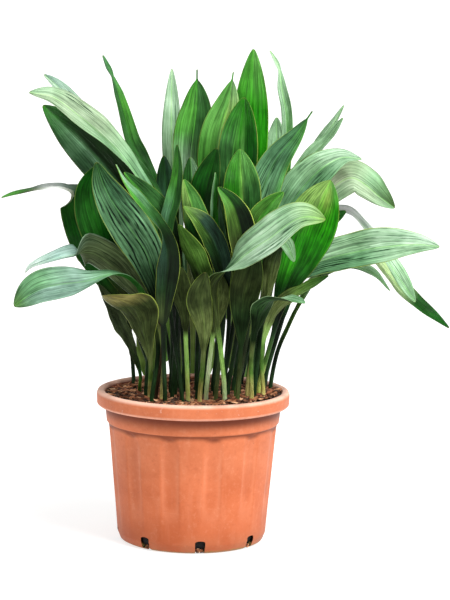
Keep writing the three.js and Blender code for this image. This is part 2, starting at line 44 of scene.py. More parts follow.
cameraSettings = {
    "place": (0.044, -3.6, 0.850),
    "aim": (0.044, 0.0, 0.352),
    "lens": 150.9,  # mm
    "sensor": 36.0,  # mm
    "roll": 0.9,  # degrees
    "nearest": 0.05,
    "farthest": 500.0,
}


def makeCamera():
    s = cameraSettings
    data = bpy.data.cameras.new("camera")
    data.lens = s["lens"]
    data.sensor_width = s["sensor"]
    data.clip_start = s["nearest"]
    data.clip_end = s["farthest"]
    camera = bpy.data.objects.new("camera", data)
    place = Vector(s["place"])
    view = Vector(s["aim"]) - place
    turn = view.to_track_quat("-Z", "Y").to_matrix().to_4x4()
    roll = Matrix.Rotation(math.radians(s["roll"]), 4, "Z")
    camera.matrix_world = Matrix.Translation(place) @ turn @ roll
    bpy.context.scene.collection.objects.link(camera)
    bpy.context.scene.camera = camera


makeCamera()
print("camera placed")


# small helpers for node trees


def linearColour(code):
    parts = [int(code[i:i + 2], 16) / 255 for i in (1, 3, 5)]
    return [p / 12.92 if p <= 0.04045 else ((p + 0.055) / 1.055) ** 2.4 for p in parts]


# the output of a node, which sums can be written with in the usual way
class Wire:
    def __init__(self, tree, socket):
        self.tree = tree
        self.socket = socket

    def do(self, operation, *others):
        return calc(self.tree, operation, self, *others)

    def __add__(self, other):
        return self.do("ADD", other)

    def __sub__(self, other):
        return self.do("SUBTRACT", other)

    def __rsub__(self, other):
        return calc(self.tree, "SUBTRACT", other, self)

    def __mul__(self, other):
        return self.do("MULTIPLY", other)

    def __truediv__(self, other):
        return self.do("DIVIDE", other)

    def __rtruediv__(self, other):
        return calc(self.tree, "DIVIDE", other, self)

    def __pow__(self, other):
        return self.do("POWER", other)


def plug(tree, socket, value):
    if isinstance(value, Wire):
        tree.links.new(value.socket, socket)
    elif isinstance(value, str) and value.startswith("#"):
        socket.default_value = linearColour(value) + [1.0]
    else:
        socket.default_value = value


def addNode(tree, kind, values=None, **settings):
    node = tree.nodes.new(kind)
    for name, value in settings.items():
        setattr(node, name, value)
    for name, value in (values or {}).items():
        plug(tree, node.inputs[name], value)
    return node


def wire(tree, kind, values=None, output=0, **settings):
    return Wire(tree, addNode(tree, kind, values, **settings).outputs[output])


def calc(tree, operation, *values):
    return wire(tree, "ShaderNodeMath", dict(enumerate(values)), operation=operation)


def vector(tree, x, y, z):
    return wire(tree, "ShaderNodeCombineXYZ", {"X": x, "Y": y, "Z": z})


def partsOf(place):
    node = addNode(place.tree, "ShaderNodeSeparateXYZ", {"Vector": place})
    return [Wire(place.tree, socket) for socket in node.outputs]


def scaled(place, factor):
    return wire(place.tree, "ShaderNodeVectorMath", {0: place, "Scale": factor}, operation="SCALE")


def moved(place, shift, operation="ADD"):
    return wire(place.tree, "ShaderNodeVectorMath", {0: place, 1: shift}, operation=operation)


def mixColour(tree, share, first, second, blend="MIX"):
    return wire(tree, "ShaderNodeMix", {0: share, 6: first, 7: second}, 2,
                data_type="RGBA", blend_type=blend)


def between(value, low, high, start=0.0, end=1.0):
    return wire(value.tree, "ShaderNodeMapRange", {
        "Value": value, "From Min": low, "From Max": high, "To Min": start, "To Max": end,
    }, interpolation_type="SMOOTHSTEP")


def noise(place, scale, detail=3.0, roughness=0.55):
    return wire(place.tree, "ShaderNodeTexNoise", {
        "Vector": place, "Scale": scale, "Detail": detail, "Roughness": roughness})


def attribute(tree, name, output="Fac"):
    return wire(tree, "ShaderNodeAttribute", None, output, attribute_name=name)


def objectPlace(tree):
    return wire(tree, "ShaderNodeTexCoord", None, "Object")


def bumped(height, strength, distance, **normal):
    values = {"Height": height, "Strength": strength, "Distance": distance, **normal}
    return wire(height.tree, "ShaderNodeBump", values)


def dress(surface, shader):
    for socket, value in shader.items():
        plug(surface.id_data, surface.inputs[socket.replace("_", " ")], value)


def newMaterial(name, **shader):
    material = bpy.data.materials.new(name)
    material.use_nodes = True
    tree = material.node_tree
    surface = tree.nodes["Principled BSDF"]
    dress(surface, shader)
    return material, tree, surface


def newTree(name, start, end, inputs):
    tree = bpy.data.node_groups.new(name, "GeometryNodeTree")
    tree.interface.new_socket(start, in_out="INPUT", socket_type="NodeSocketGeometry")
    for title, kind in inputs:
        tree.interface.new_socket(title, in_out="INPUT", socket_type="NodeSocket" + kind)
    tree.interface.new_socket(end, in_out="OUTPUT", socket_type="NodeSocketGeometry")
    entry, out = tree.nodes.new("NodeGroupInput"), tree.nodes.new("NodeGroupOutput")

    def given(title):
        return Wire(tree, entry.outputs[title])

    return tree, given, out


def position(tree):
    return wire(tree, "GeometryNodeInputPosition")


def named(tree, name, kind="FLOAT"):
    return wire(tree, "GeometryNodeInputNamedAttribute", {"Name": name}, data_type=kind)


def stored(geometry, name, value, domain="POINT"):
    return wire(geometry.tree, "GeometryNodeStoreNamedAttribute", {
        "Geometry": geometry, "Name": name, "Value": value,
    }, data_type="FLOAT", domain=domain)


def sampled(geometry, value, row, kind="FLOAT"):
    return wire(row.tree, "GeometryNodeSampleIndex", {
        "Geometry": geometry, "Value": value, "Index": row}, data_type=kind)


# leads a geometry through one node after another
def chain(geometry, *steps):
    for kind, values in steps:
        geometry = wire(geometry.tree, "GeometryNode" + kind, {"Geometry": geometry, **values})
    return geometry


# a flat grid, how far round each of its points is, from 0 to 1, and the row it is in
def flatGrid(tree, columns, rows):
    grid = wire(tree, "GeometryNodeMeshGrid", {
        "Size X": 1.0, "Size Y": 1.0, "Vertices X": columns, "Vertices Y": rows})
    x, y, _ = partsOf(position(tree))
    return grid, x + 0.5, ((y + 0.5) * (rows - 1.0)).do("ROUND")


def meshFrom(name, points, faces=(), numbers=None, vectors=None):
    mesh = bpy.data.meshes.new(name)
    mesh.from_pydata([tuple(p) for p in points], [], faces)
    for titles, kind, field in ((numbers, "FLOAT", "value"), (vectors, "FLOAT_VECTOR", "vector")):
        for title, values in (titles or {}).items():
            layer = mesh.attributes.new(title, kind, "POINT")
            layer.data.foreach_set(field, np.asarray(values, np.float32).ravel())
    return mesh


# runs a node tree on a mesh and returns the result as one plain mesh object
def grown(name, mesh, tree, values):
    source = bpy.data.objects.new(name + "Source", mesh)
    bpy.context.scene.collection.objects.link(source)
    modifier = source.modifiers.new("nodes", "NODES")
    modifier.node_group = tree
    for item in tree.interface.items_tree:
        if item.in_out == "INPUT" and item.name in values:
            modifier[item.identifier] = values[item.name]
    graph = bpy.context.evaluated_depsgraph_get()
    done = bpy.data.meshes.new_from_object(source.evaluated_get(graph), preserve_all_data_layers=True,
                                           depsgraph=graph)
    done.name = name
    source.modifiers.remove(modifier)
    bpy.data.objects.remove(source)
    bpy.data.meshes.remove(mesh)
    piece = bpy.data.objects.new(name, done)
    bpy.context.scene.collection.objects.link(piece)
    return piece


def settle(piece, slot, *nodes):
    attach(piece, "root")
    if nodes:
        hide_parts(*nodes)


def numbersOf(mesh, name):
    values = np.zeros(len(mesh.vertices), np.float32)
    mesh.attributes[name].data.foreach_get("value", values)
    return values


# the leaves: a line of stations from root to tip for each, and a blade laid over it by geometry nodes

leafSettings = {
    "stalkRows": 14,
    "bladeRows": 74,
    "columns": 57,
    "pleatedColumns": 113,
    "finePoints": 60,  # steps between two of the points that are seen
    "stalkHalfWidth": 3.2,  # mm, as the lengths below
    "tipHalfWidth": 1.2,
    "stalkThickness": 4.8,
    "ribAtTip": 1.0,
    "stalkEdge": 2.2,
    "bladeEdge": 0.8,
    "rootDepth": 24.0,
    "uprightFrom": -20.0,  # heights over the ground between which a stalk stands upright
    "uprightTo": 6.0,
    "keelHalfWidth": 2.3,
    "grooveDepth": 0.9,
    "ribDepth": 0.16,
    "pleatDepth": 0.8,
    "ripple": 1.1,
    "sway": 9.0,
    "ribs": 7.0,
    "pleats": 9.0,
    "fold": 14.0,  # degrees, each half of the blade
    "broad": 0.64,  # share of the blade's length where it is widest
}
groundSettings = {
    "level": 212.0,  # mm, as all the lengths here
    "heap": 7.0,
    "heapPlace": (95, -40),
    "heapReach": (55, 60),
    "uneven": 1.6,
    "unevenReach": (17, 21),
}
eye = np.array(cameraSettings["place"]) / mm


def soilHeight(x, y):
    s = groundSettings
    heapX, heapY = s["heapPlace"]
    reachX, reachY = s["heapReach"]
    waveX, waveY = s["unevenReach"]
    heap = s["heap"] * np.exp(-(((x - heapX) / reachX) ** 2 + ((y - heapY) / reachY) ** 2))
    return s["level"] + heap + s["uneven"] * np.sin(x / waveX + 1) * np.cos(y / waveY)


def unit(vectors):
    return vectors / np.linalg.norm(vectors, axis=-1, keepdims=True)


# a smooth curve through the points, at shares from 0 to 1
def curveAt(points, shares):
    points = np.vstack((2 * points[0] - points[1], points, 2 * points[-1] - points[-2]))
    spans = len(points) - 3
    place = np.clip(np.asarray(shares, float), 0, 1) * spans
    first = np.minimum(place.astype(int), spans - 1)
    t = (place - first)[:, None]
    p0, p1, p2, p3 = (points[first + k] for k in range(4))
    pairs = ((p0, p1), (p1, p2), (p2, p3))
    d0, d1, d2 = (np.linalg.norm(b - a, axis=1, keepdims=True) ** 0.5 for a, b in pairs)
    m1 = ((p1 - p0) / d0 - (p2 - p0) / (d0 + d1) + (p2 - p1) / d1) * d1
    m2 = ((p2 - p1) / d1 - (p3 - p1) / (d1 + d2) + (p3 - p2) / d2) * d1
    return p1 + m1 * t + (3 * (p2 - p1) - 2 * m1 - m2) * t ** 2 + (2 * (p1 - p2) + m1 + m2) * t ** 3


def curveDirection(points, shares):
    step = 0.0001
    ahead, behind = np.minimum(1, shares + step), np.maximum(0, shares - step)
    return unit(curveAt(points, ahead) - curveAt(points, behind))


# middle, width direction, upper side and the rest of each station of a leaf; the shape is in mm
def leafStations(shape):
    s = leafSettings
    x, y = shape["foot"]
    ground = soilHeight(x, y)
    points = [(x, y, ground + s["uprightFrom"]), (x, y, ground + s["uprightTo"])]
    # px and pz are as seen from the camera, on the upright plane through the pot's axis
    for px, pz, depth in shape["seen"]:
        reach = (depth - eye[1]) / -eye[1]
        points.append((eye[0] + (px - eye[0]) * reach, depth, eye[2] + (pz - eye[2]) * reach))
    points = np.array(points, float)
    spans, steps = len(points) - 1, s["finePoints"]
    fineShares = np.arange(steps, steps * spans + 1) / (steps * spans)
    fine = curveAt(points, fineShares)
    lengths = np.concatenate(([0], np.cumsum(np.linalg.norm(np.diff(fine, axis=0), axis=1))))
    neck, end = lengths[steps], lengths[-1]
    rows = np.arange(s["bladeRows"] + 1) / s["bladeRows"]
    blade = 0.6 * rows + 0.4 * np.sin(np.pi * rows / 2)  # closer together towards the tip
    blade[-2] = 1 - (1 - blade[-3]) * 0.25
    wanted = np.concatenate((neck * np.arange(s["stalkRows"]) / s["stalkRows"], neck + (end - neck) * blade))
    shares = np.interp(wanted, lengths, fineShares)
    middle = curveAt(points, shares)
    direction = curveDirection(points, shares)
    root = np.array((x, y, ground - s["rootDepth"]))
    middle = np.vstack((root, root, middle))
    direction = np.vstack(([(0, 0, 1)] * 3, direction[1:]))
    blade = np.concatenate((np.zeros(s["stalkRows"] + 2), blade))
    marks = shape.get("faceAt") or np.linspace(0, 1, len(shape["faces"]))
    faces = unit(np.array(shape["faces"], float))
    upper = np.stack([np.interp(blade, marks, faces[:, k]) for k in range(3)], axis=1)
    upper = unit(upper - direction * np.sum(upper * direction, axis=1, keepdims=True))
    rise = math.log(0.5) / math.log(shape.get("broad", s["broad"]))
    part = np.minimum(1, blade / (1 - shape.get("spike", 0)))
    oval = np.maximum(0, np.sin(np.pi * part ** rise)) ** 0.8
    least = s["stalkHalfWidth"] + (s["tipHalfWidth"] - s["stalkHalfWidth"]) * blade
    half = least + (shape["width"] / 2 - least) * oval
    opened = np.minimum(1, 5 * blade)  # the first fifth goes over from stalk to blade
    fold = np.radians(s["fold"]) * opened
    thick = s["stalkThickness"] + (s["ribAtTip"] - s["stalkThickness"]) * np.minimum(1, blade * 1.4) ** 0.6
    edge = s["stalkEdge"] + (s["bladeEdge"] - s["stalkEdge"]) * opened
    closed = np.ones(len(blade))
    closed[0] = closed[-1] = 0
    wave = shape.get("wave", 0) * np.sin(blade * 15) * np.sin(np.pi * blade)
    along = blade.copy()
    stalk = s["stalkRows"] + 2
    along[:stalk] = np.concatenate(([-1.2, -1.2], np.arange(s["stalkRows"]) / s["stalkRows"] - 1))
    numbers = {
        "half": half * mm * closed, "reach": half * np.cos(fold) * mm * closed,
        "lift": half * np.sin(fold) * mm * closed, "wave": wave * mm * closed,
        "thick": thick / 2 * mm * closed, "edge": edge / 2 * mm * closed, "opened": opened,
        "swell": np.sin(np.pi * np.clip(blade, 0, 1)) ** 0.6 * closed, "along": along,
    }
    return middle * mm, numbers, {"across": np.cross(direction, upper), "upper": upper}


# how far the ribs stray to the side along the blade
def ribWander(side, along):
    first = (along * 9.0 + side * 2.0).do("SINE")
    second = (along * 25.0 + side * 5.0).do("SINE")
    return first * 0.05 + second * 0.02


def makeBladeTree():
    tree, given, out = newTree("bladeOverSpine", "Spine", "Leaf", [
        ("Rows", "Int"), ("Columns", "Int"), ("Ribs", "Float"), ("Rib depth", "Float"),
        ("Keel half width", "Float"), ("Groove depth", "Float"),
        ("Ripple", "Float"), ("Sway", "Float"), ("Seed", "Float"),
        ("Upper material", "Material"), ("Under material", "Material"),
    ])
    grid, turn, row = flatGrid(tree, given("Columns"), given("Rows"))

    def number(name):
        return sampled(given("Spine"), named(tree, name), row)

    def direction(name):
        return sampled(given("Spine"), named(tree, name, "FLOAT_VECTOR"), row, "FLOAT_VECTOR")

    # round the section: over the upper face from one edge to the other, then back under it
    side = 1.0 - (turn * 4.0 - 2.0).do("ABSOLUTE")
    under = turn.do("GREATER_THAN", 0.5001)
    face = 1.0 - under * 2.0
    away = side.do("ABSOLUTE")
    opened, swell, along = number("opened"), number("swell"), number("along")

    def rounding(power):
        return (1.0 - away ** power).do("MAXIMUM", 0.0).do("SQRT")

    # the thickness: an oval stalk that goes over into a thin blade with a keel
    fromRib = away * number("half")
    narrow = fromRib / given("Keel half width")
    keel = (narrow * narrow * -1.0).do("EXPONENT")
    thick, edge = number("thick"), number("edge")
    bladeThick = rounding(8.0) * (edge + (thick - edge) * keel)
    stalkThick = rounding(2.0) * thick
    skin = (stalkThick + (bladeThick - stalkThick) * opened) * face

    # lengthwise ribs, a rippled edge, a groove over the midrib and a slow sway
    ribPlace = side + ribWander(side, along)
    ridges = (ribPlace * given("Ribs") * math.pi).do("COSINE") * (1.0 - away ** 4.0)
    ridges = ridges * (given("Rib depth") * swell)
    slow = (along * 17.0 + (side * 1.3 + given("Seed"))).do("SINE")
    quick = (along * 41.0 + (side * 2.1 + given("Seed") * 1.7)).do("SINE")
    ripple = (quick * 0.35 + slow) * given("Ripple") * (away ** 2.0 * swell)
    groove = keel * opened * ((under - 1.0) * given("Groove depth")) * swell
    swayPlace = vector(tree, side * 0.9, along * 4.5, given("Seed"))
    sway = (noise(swayPlace, 1.0, 1.0, 0.5) - 0.5) * given("Sway") * swell
    height = number("lift") * away ** 1.25 - number("wave") * side
    for part in (skin, ridges, ripple, groove, sway):
        height = height + part

    spot = sampled(given("Spine"), position(tree), row, "FLOAT_VECTOR")
    place = moved(spot, scaled(direction("across"), side * number("reach")))
    place = moved(place, scaled(direction("upper"), height))
    for name, value in (("side", side), ("along", along), ("under", under), ("fromRib", fromRib)):
        grid = stored(grid, name, value)
    leaf = chain(
        grid, ("SetPosition", {"Position": place}), ("MergeByDistance", {"Distance": 0.02 * mm}),
        ("SetShadeSmooth", {}), ("RealizeInstances", {}),
        ("SetMaterial", {"Material": given("Upper material")}),
        ("SetMaterial", {
            "Selection": named(tree, "under").do("GREATER_THAN", 0.5), "Material": given("Under material")}))
    plug(tree, out.inputs[0], leaf)
    return tree


# in mm: foot on the soil, width, and the points that are seen, each right of the axis, up and its depth;
# "faces" are the directions of the upper side along the blade, and "broad" is where it is widest
leafShapes = {
    "leaf_top_1": {"foot": (58, 15), "width": 54, "broad": 0.67,
        "seen": [(76, 353, 30), (77, 469, 35), (76, 584, 45), (77, 648, 62), (79, 714, 80)],
        "faces": [(0, -10, 1), (1, -10, 2)]},
    "leaf_top_2": {"foot": (43, -5), "width": 60, "broad": 0.7,
        "seen": [(60, 352, -5), (58, 461, -8), (59, 569, 2), (67, 645, 25)],
        "faces": [(-1, -10, 1), (1, -10, 3)]},
    "leaf_top_3": {"foot": (50, -34), "width": 56, "broad": 0.7,
        "seen": [(67, 338, -45), (69, 425, -55), (66, 505, -55), (62, 571, -35)],
        "faces": [(0, -10, 1), (0, -9, 4)]},
    "leaf_top_4": {"foot": (28, 20), "width": 58, "broad": 0.68, "spike": 0.04,
        "seen": [(40, 352, 18), (31, 468, 22), (31, 580, 32), (44, 635, 44), (51, 681, 60)],
        "faces": [(-1, -10, 1), (-3, -10, 2)]},
    "leaf_top_5": {"foot": (5, 45), "width": 58, "broad": 0.72, "spike": 0.05,
        "seen": [(8, 351, 50), (-4, 467, 55), (-7, 568, 70), (-1, 628, 86), (-1, 684, 108)],
        "faces": [(0, -10, 1), (-1, -10, 3)]},
    "leaf_top_6": {"foot": (-12, 75), "width": 32,
        "seen": [(-15, 351, 90), (-28, 467, 115), (-36, 582, 140), (-37, 684, 170)],
        "faces": [(1, -10, 1), (2, -10, 2)]},
    "leaf_top_7": {"foot": (66, 68), "width": 42, "broad": 0.7,
        "seen": [(97, 353, 95), (107, 469, 130), (114, 549, 160), (114, 617, 190)],
        "faces": [(0, -10, 2), (-2, -8, 6)]},
    "leaf_top_8": {"foot": (81, 50), "width": 19,
        "seen": [(100, 353, 62), (117, 469, 78), (128, 570, 92), (127, 625, 98), (120, 659, 103),
            (116, 684, 106), (111, 697, 107), (102, 712, 108)],
        "faces": [(3, -9, 1), (3, -9, 2), (8, -3, 4), (3, -8, 3), (3, -8, 3)],
        "faceAt": [0, 0.84, 0.915, 0.95, 1]},
    "leaf_left_1": {"foot": (-26, -8), "width": 60, "broad": 0.75,
        "seen": [(-25, 351, -20), (-54, 472, -32), (-84, 530, -38), (-119, 572, -40), (-169, 613, -38),
            (-208, 641, -36), (-241, 647, -34)],
        "faces": [(7, -6, 2), (6, -4, 7), (6, -4, 7), (4, -6, 7)]},
    "leaf_left_2": {"foot": (-16, 4), "width": 36, "broad": 0.8,
        "seen": [(-12, 351, 10), (-43, 483, 8), (-75, 536, 6), (-116, 576, 5), (-166, 621, 5),
            (-204, 660, 5), (-220, 673, 5)],
        "faces": [(7, -6, 2), (6, -4, 7), (6, -4, 7), (4, -6, 7)]},
    "leaf_left_3": {"foot": (-33, 14), "width": 68, "broad": 0.68,
        "seen": [(-35, 343, 22), (-77, 466, 34), (-136, 547, 42), (-180, 592, 46), (-221, 629, 52)],
        "faces": [(3, -10, 1), (1, -9, 4)]},
    "leaf_left_4": {"foot": (-21, 50), "width": 27, "broad": 0.56,
        "seen": [(-30, 351, 58), (-53, 488, 64), (-81, 557, 68), (-93, 581, 69), (-111, 642, 70),
            (-123, 674, 71), (-130, 689, 72), (-136, 702, 72)],
        "faces": [(4, -8, 2), (5, -8, 3), (8, -3, 4), (3, -8, 3), (3, -8, 3)],
        "faceAt": [0, 0.84, 0.91, 0.95, 1]},
    "leaf_left_5": {"foot": (-55, 22), "width": 58, "broad": 0.45,
        "seen": [(-96, 332, 10), (-128, 390, 5), (-155, 436, 5), (-167, 471, 8), (-175, 497, 6),
            (-187, 508, 2), (-217, 510, -5), (-250, 503, -12), (-280, 495, -20)],
        "faces": [(2, -10, 2), (2, -10, 2), (8, 1, 6), (0, 0.3, 10), (0, -3, 10)],
        "faceAt": [0, 0.61, 0.66, 0.84, 1]},
    "leaf_left_6": {"foot": (-68, -20), "width": 58, "broad": 0.68,
        "seen": [(-70, 314, -40), (-111, 386, -56), (-140, 454, -66), (-152, 506, -72), (-144, 543, -72)],
        "faces": [(3, -9, 1), (1, -10, 2)]},
    "leaf_left_7": {"foot": (-44, -60), "width": 60, "broad": 0.6,
        "seen": [(-44, 314, -80), (-68, 411, -105), (-94, 454, -122), (-118, 489, -132), (-134, 519, -137),
            (-144, 549, -140)],
        "faces": [(0, -10, 2), (-1, -8, 5)]},
    "leaf_left_8": {"foot": (-39, -78), "width": 36, "broad": 0.42, "wave": 2.5,
        "seen": [(-45, 314, -107), (-44, 351, -115), (-40, 406, -130), (-47, 447, -142), (-75, 487, -155),
            (-104, 522, -165), (-116, 546, -170)],
        "faces": [(2, -9, 1), (3, -9, 2), (9, -4, 5), (8, -4, 6)], "faceAt": [0, 0.34, 0.58, 1]},
    "leaf_left_9": {"foot": (-30, -30), "width": 42,
        "seen": [(-25, 336, -48), (-33, 406, -66), (-47, 464, -84), (-72, 500, -95), (-104, 535, -105)],
        "faces": [(3, -9, 2), (4, -7, 6)]},
    "leaf_left_10": {"foot": (-53, -50), "width": 62, "broad": 0.6,
        "seen": [(-45, 310, -62), (-64, 343, -76), (-91, 372, -88), (-118, 399, -100), (-149, 417, -110),
            (-179, 414, -114), (-211, 405, -117), (-237, 395, -117), (-245, 387, -117)],
        "faces": [(3, 9, 2), (4, 8, 4), (-1, -2, 10), (-1, -2, 10)], "faceAt": [0, 0.64, 0.71, 1]},
    "leaf_left_11": {"foot": (-58, -78), "width": 58, "broad": 0.79,
        "seen": [(-52, 285, -92), (-67, 341, -102), (-88, 376, -114), (-111, 386, -126), (-154, 377, -142),
            (-196, 370, -152), (-228, 361, -158), (-261, 338, -160)],
        "faces": [(3, 9, 2), (1, 3, 9), (-1, -7, 7), (-1, -8, 6)], "faceAt": [0, 0.35, 0.7, 1]},
    "leaf_left_12": {"foot": (-78, 5), "width": 46,
        "seen": [(-78, 245, -30), (-94, 284, -50), (-118, 328, -65), (-140, 372, -75)],
        "faces": [(8, -5, 2), (9, -3, 3)]},
    "leaf_mid_1": {"foot": (-15, -62), "width": 26,
        "seen": [(-35, 336, -75), (-42, 406, -92), (-40, 464, -100), (-30, 503, -100), (-26, 542, -95),
            (-28, 576, -88)],
        "faces": [(-5, -8, 1), (-5, -8, 1)]},
    "leaf_mid_2": {"foot": (-12, 18), "width": 34, "broad": 0.7,
        "seen": [(-21, 344, 21), (-37, 452, 20), (-47, 560, 20)],
        "faces": [(0, -10, 1), (0, -10, 1)]},
    "leaf_mid_3": {"foot": (14, -15), "width": 40,
        "seen": [(20, 344, -38), (7, 431, -52), (-4, 482, -62), (-18, 526, -68)],
        "faces": [(2, -10, 1), (4, -9, 1)]},
    "leaf_mid_4": {"foot": (33, -52), "width": 38,
        "seen": [(43, 337, -66), (39, 399, -76), (25, 438, -86), (6, 465, -92), (-18, 487, -98)],
        "faces": [(2, -9, 2), (2, -7, 7)]},
    "leaf_mid_5": {"foot": (20, 2), "width": 48,
        "seen": [(25, 349, -12), (12, 446, -18), (13, 511, -18), (29, 572, -8)],
        "faces": [(-2, -10, 0), (-3, -9, 0)]},
    "leaf_mid_6": {"foot": (31, -25), "width": 24,
        "seen": [(33, 340, -30), (24, 446, -40), (27, 537, -42)],
        "faces": [(8, -5, 2), (8, -5, 2)]},
    "leaf_mid_7": {"foot": (62, -58), "width": 44,
        "seen": [(77, 309, -76), (71, 408, -88), (62, 466, -94), (50, 493, -96), (31, 516, -98)],
        "faces": [(2, -10, 1), (4, -8, 3)]},
    "leaf_mid_8": {"foot": (78, -45), "width": 40,
        "seen": [(87, 316, -62), (79, 425, -70), (90, 467, -76), (107, 492, -80), (126, 510, -84)],
        "faces": [(0, -10, 1), (2, -9, 3)]},
    "leaf_mid_9": {"foot": (66, -15), "width": 52, "broad": 0.5, "spike": 0.05,
        "seen": [(73, 352, -25), (81, 462, -22), (111, 550, -10), (143, 594, 3), (165, 627, 15)],
        "faces": [(1, -10, 2), (2, -9, 3)]},
    "leaf_mid_10": {"foot": (4, 20), "width": 36, "broad": 0.7,
        "seen": [(5, 351, 18), (-1, 467, 20), (-9, 558, 25)],
        "faces": [(0, -10, 1), (0, -10, 1)]},
    "leaf_right_1": {"foot": (84, 5), "width": 62,
        "seen": [(98, 346, 8), (121, 462, 18), (163, 528, 35), (206, 560, 52), (237, 559, 62)],
        "faces": [(2, -9, 2), (1, -7, 7), (1, -5, 8)]},
    "leaf_right_2": {"foot": (92, 30), "width": 57, "broad": 0.76,
        "seen": [(112, 338, 35), (155, 427, 50), (178, 495, 62), (201, 521, 70), (222, 532, 77),
            (243, 522, 84), (263, 506, 88), (286, 489, 90)],
        "faces": [(-4, -7, 4), (0, -7, 5), (4, -8, 5)]},
    "leaf_right_3": {"foot": (94, -28), "width": 76, "broad": 0.7,
        "seen": [(114, 302, -36), (128, 365, -42), (147, 412, -48), (169, 473, -52), (193, 528, -42)],
        "faces": [(1, -10, 1), (2, -9, 3)]},
    "leaf_right_4": {"foot": (101, -10), "width": 62, "broad": 0.6,
        "seen": [(128, 327, -12), (146, 390, -18), (177, 409, -24), (223, 423, -32), (283, 434, -42),
            (324, 437, -47), (352, 434, -50)],
        "faces": [(-3, -7, 5), (-1, -8, 6), (0, -8, 6)]},
    "leaf_right_5": {"foot": (101, 48), "width": 44, "broad": 0.74,
        "seen": [(131, 353, 60), (158, 434, 80), (190, 481, 92), (219, 483, 98), (239, 466, 103),
            (266, 428, 107), (293, 391, 110), (319, 353, 110)],
        "faces": [(-6, -3, 6), (3, 0, 9), (6, -3, 7), (5, -7, 5)]},
    "leaf_right_6": {"foot": (95, 60), "width": 33, "broad": 0.7,
        "seen": [(138, 353, 95), (187, 418, 120), (243, 426, 135), (299, 371, 143), (333, 343, 146),
            (369, 316, 148)],
        "faces": [(-4, -2, 8), (0, -4, 8), (4, -6, 6)]},
    "leaf_right_7": {"foot": (84, 62), "width": 34,
        "seen": [(106, 346, 80), (122, 440, 95), (143, 516, 108), (165, 562, 118), (191, 591, 128),
            (209, 618, 135)],
        "faces": [(-3, -7, 5), (-3, -4, 8)]},
    "leaf_right_8": {"foot": (70, 86), "width": 24,
        "seen": [(100, 353, 125), (116, 433, 145), (149, 528, 160), (177, 581, 170), (195, 609, 178),
            (210, 636, 185)],
        "faces": [(-3, -7, 5), (-3, -4, 8)]},
    "leaf_right_9": {"foot": (101, -40), "width": 27,
        "seen": [(99, 287, -50), (121, 342, -65), (155, 368, -78), (193, 390, -88)],
        "faces": [(-4, 9, 2), (-3, 6, 7)]},
    "leaf_right_10": {"foot": (104, 32), "width": 30, "broad": 0.7,
        "seen": [(128, 353, 20), (154, 419, 20), (182, 459, 22), (216, 484, 28)],
        "faces": [(-2, -8, 4), (-2, -7, 5)]},
    "leaf_right_11": {"foot": (112, 10), "width": 18, "broad": 0.75,
        "seen": [(121, 277, 6), (134, 310, 2), (148, 341, -2), (172, 383, -4), (216, 404, -4),
            (255, 396, -2), (282, 369, 0)],
        "faces": [(-2, -7, 5), (2, -4, 8)]},
    "leaf_front_1": {"foot": (-62, -42), "width": 64,
        "seen": [(-63, 261, -88), (-71, 298, -105), (-83, 334, -145), (-129, 356, -215)],
        "faces": [(2, 10, 1), (-1, 2, 10)]},
    "leaf_front_2": {"foot": (-7, -52), "width": 30, "broad": 0.7,
        "seen": [(-12, 296, -85), (-15, 334, -100), (-20, 368, -112), (-21, 399, -120)],
        "faces": [(3, 9, 1), (-4, 9, 2)]},
    "leaf_front_3": {"foot": (10, -60), "width": 38, "broad": 0.65,
        "seen": [(14, 273, -100), (14, 315, -115), (8, 354, -130), (15, 392, -140)],
        "faces": [(0, 10, 1), (-5, 9, 2)]},
    "leaf_front_4": {"foot": (46, -68), "width": 62, "broad": 0.74,
        "seen": [(39, 279, -90), (31, 326, -98), (26, 374, -104), (60, 409, -136), (106, 443, -166),
            (153, 474, -185), (187, 471, -190)],
        "faces": [(0, 10, 1), (-1, 3, 8), (-3, -7, 5), (-2, -7, 6)], "faceAt": [0, 0.33, 0.55, 1]},
    "leaf_front_5": {"foot": (19, -42), "width": 28,
        "seen": [(27, 296, -68), (35, 345, -76), (39, 387, -82)],
        "faces": [(0, 10, 0), (0, 10, 0)]},
    "leaf_front_6": {"foot": (64, -80), "width": 46,
        "seen": [(68, 282, -98), (70, 345, -112), (78, 389, -122), (88, 425, -128)],
        "faces": [(-1, 10, 1), (0, 9, 4)]},
    "leaf_front_7": {"foot": (84, -70), "width": 46, "broad": 0.72,
        "seen": [(84, 279, -94), (92, 321, -110), (103, 347, -130), (128, 353, -142), (160, 349, -155)],
        "faces": [(-3, 10, 1), (-1, 4, 9), (0, -2, 10)]},
    "leaf_front_8": {"foot": (6, -38), "width": 36,
        "seen": [(20, 300, -56), (16, 363, -66), (0, 412, -92), (-25, 461, -112)],
        "faces": [(1, 10, 1), (5, 8, 2)]},
    "leaf_front_9": {"foot": (88, -50), "width": 30,
        "seen": [(98, 324, -76), (106, 375, -86), (116, 423, -108), (128, 438, -128), (143, 409, -140)],
        "faces": [(0, 9, 1), (0, 1, 10), (2, -9, 3)]},
    "leaf_back_1": {"foot": (-88, 45), "width": 58, "broad": 0.68,
        "seen": [(-91, 284, 60), (-104, 376, 90), (-129, 451, 130), (-149, 483, 178), (-161, 456, 215),
            (-166, 404, 236)],
        "faces": [(5, -5, 5), (0, -1, 10), (-3, 4, 8), (-5, 7, 4)]},
    "leaf_back_2": {"foot": (-33, 98), "width": 46, "broad": 0.76,
        "seen": [(-39, 292, 115), (-54, 353, 148), (-60, 368, 178), (-63, 339, 208), (-62, 286, 226),
            (-60, 224, 232)],
        "faces": [(2, -8, 3), (0, -1, 10), (-2, 8, 5)]},
    "leaf_back_3": {"foot": (-9, 92), "width": 64, "broad": 0.72,
        "seen": [(-9, 307, 115), (-20, 398, 170), (-28, 441, 225), (-32, 406, 285), (-35, 336, 322),
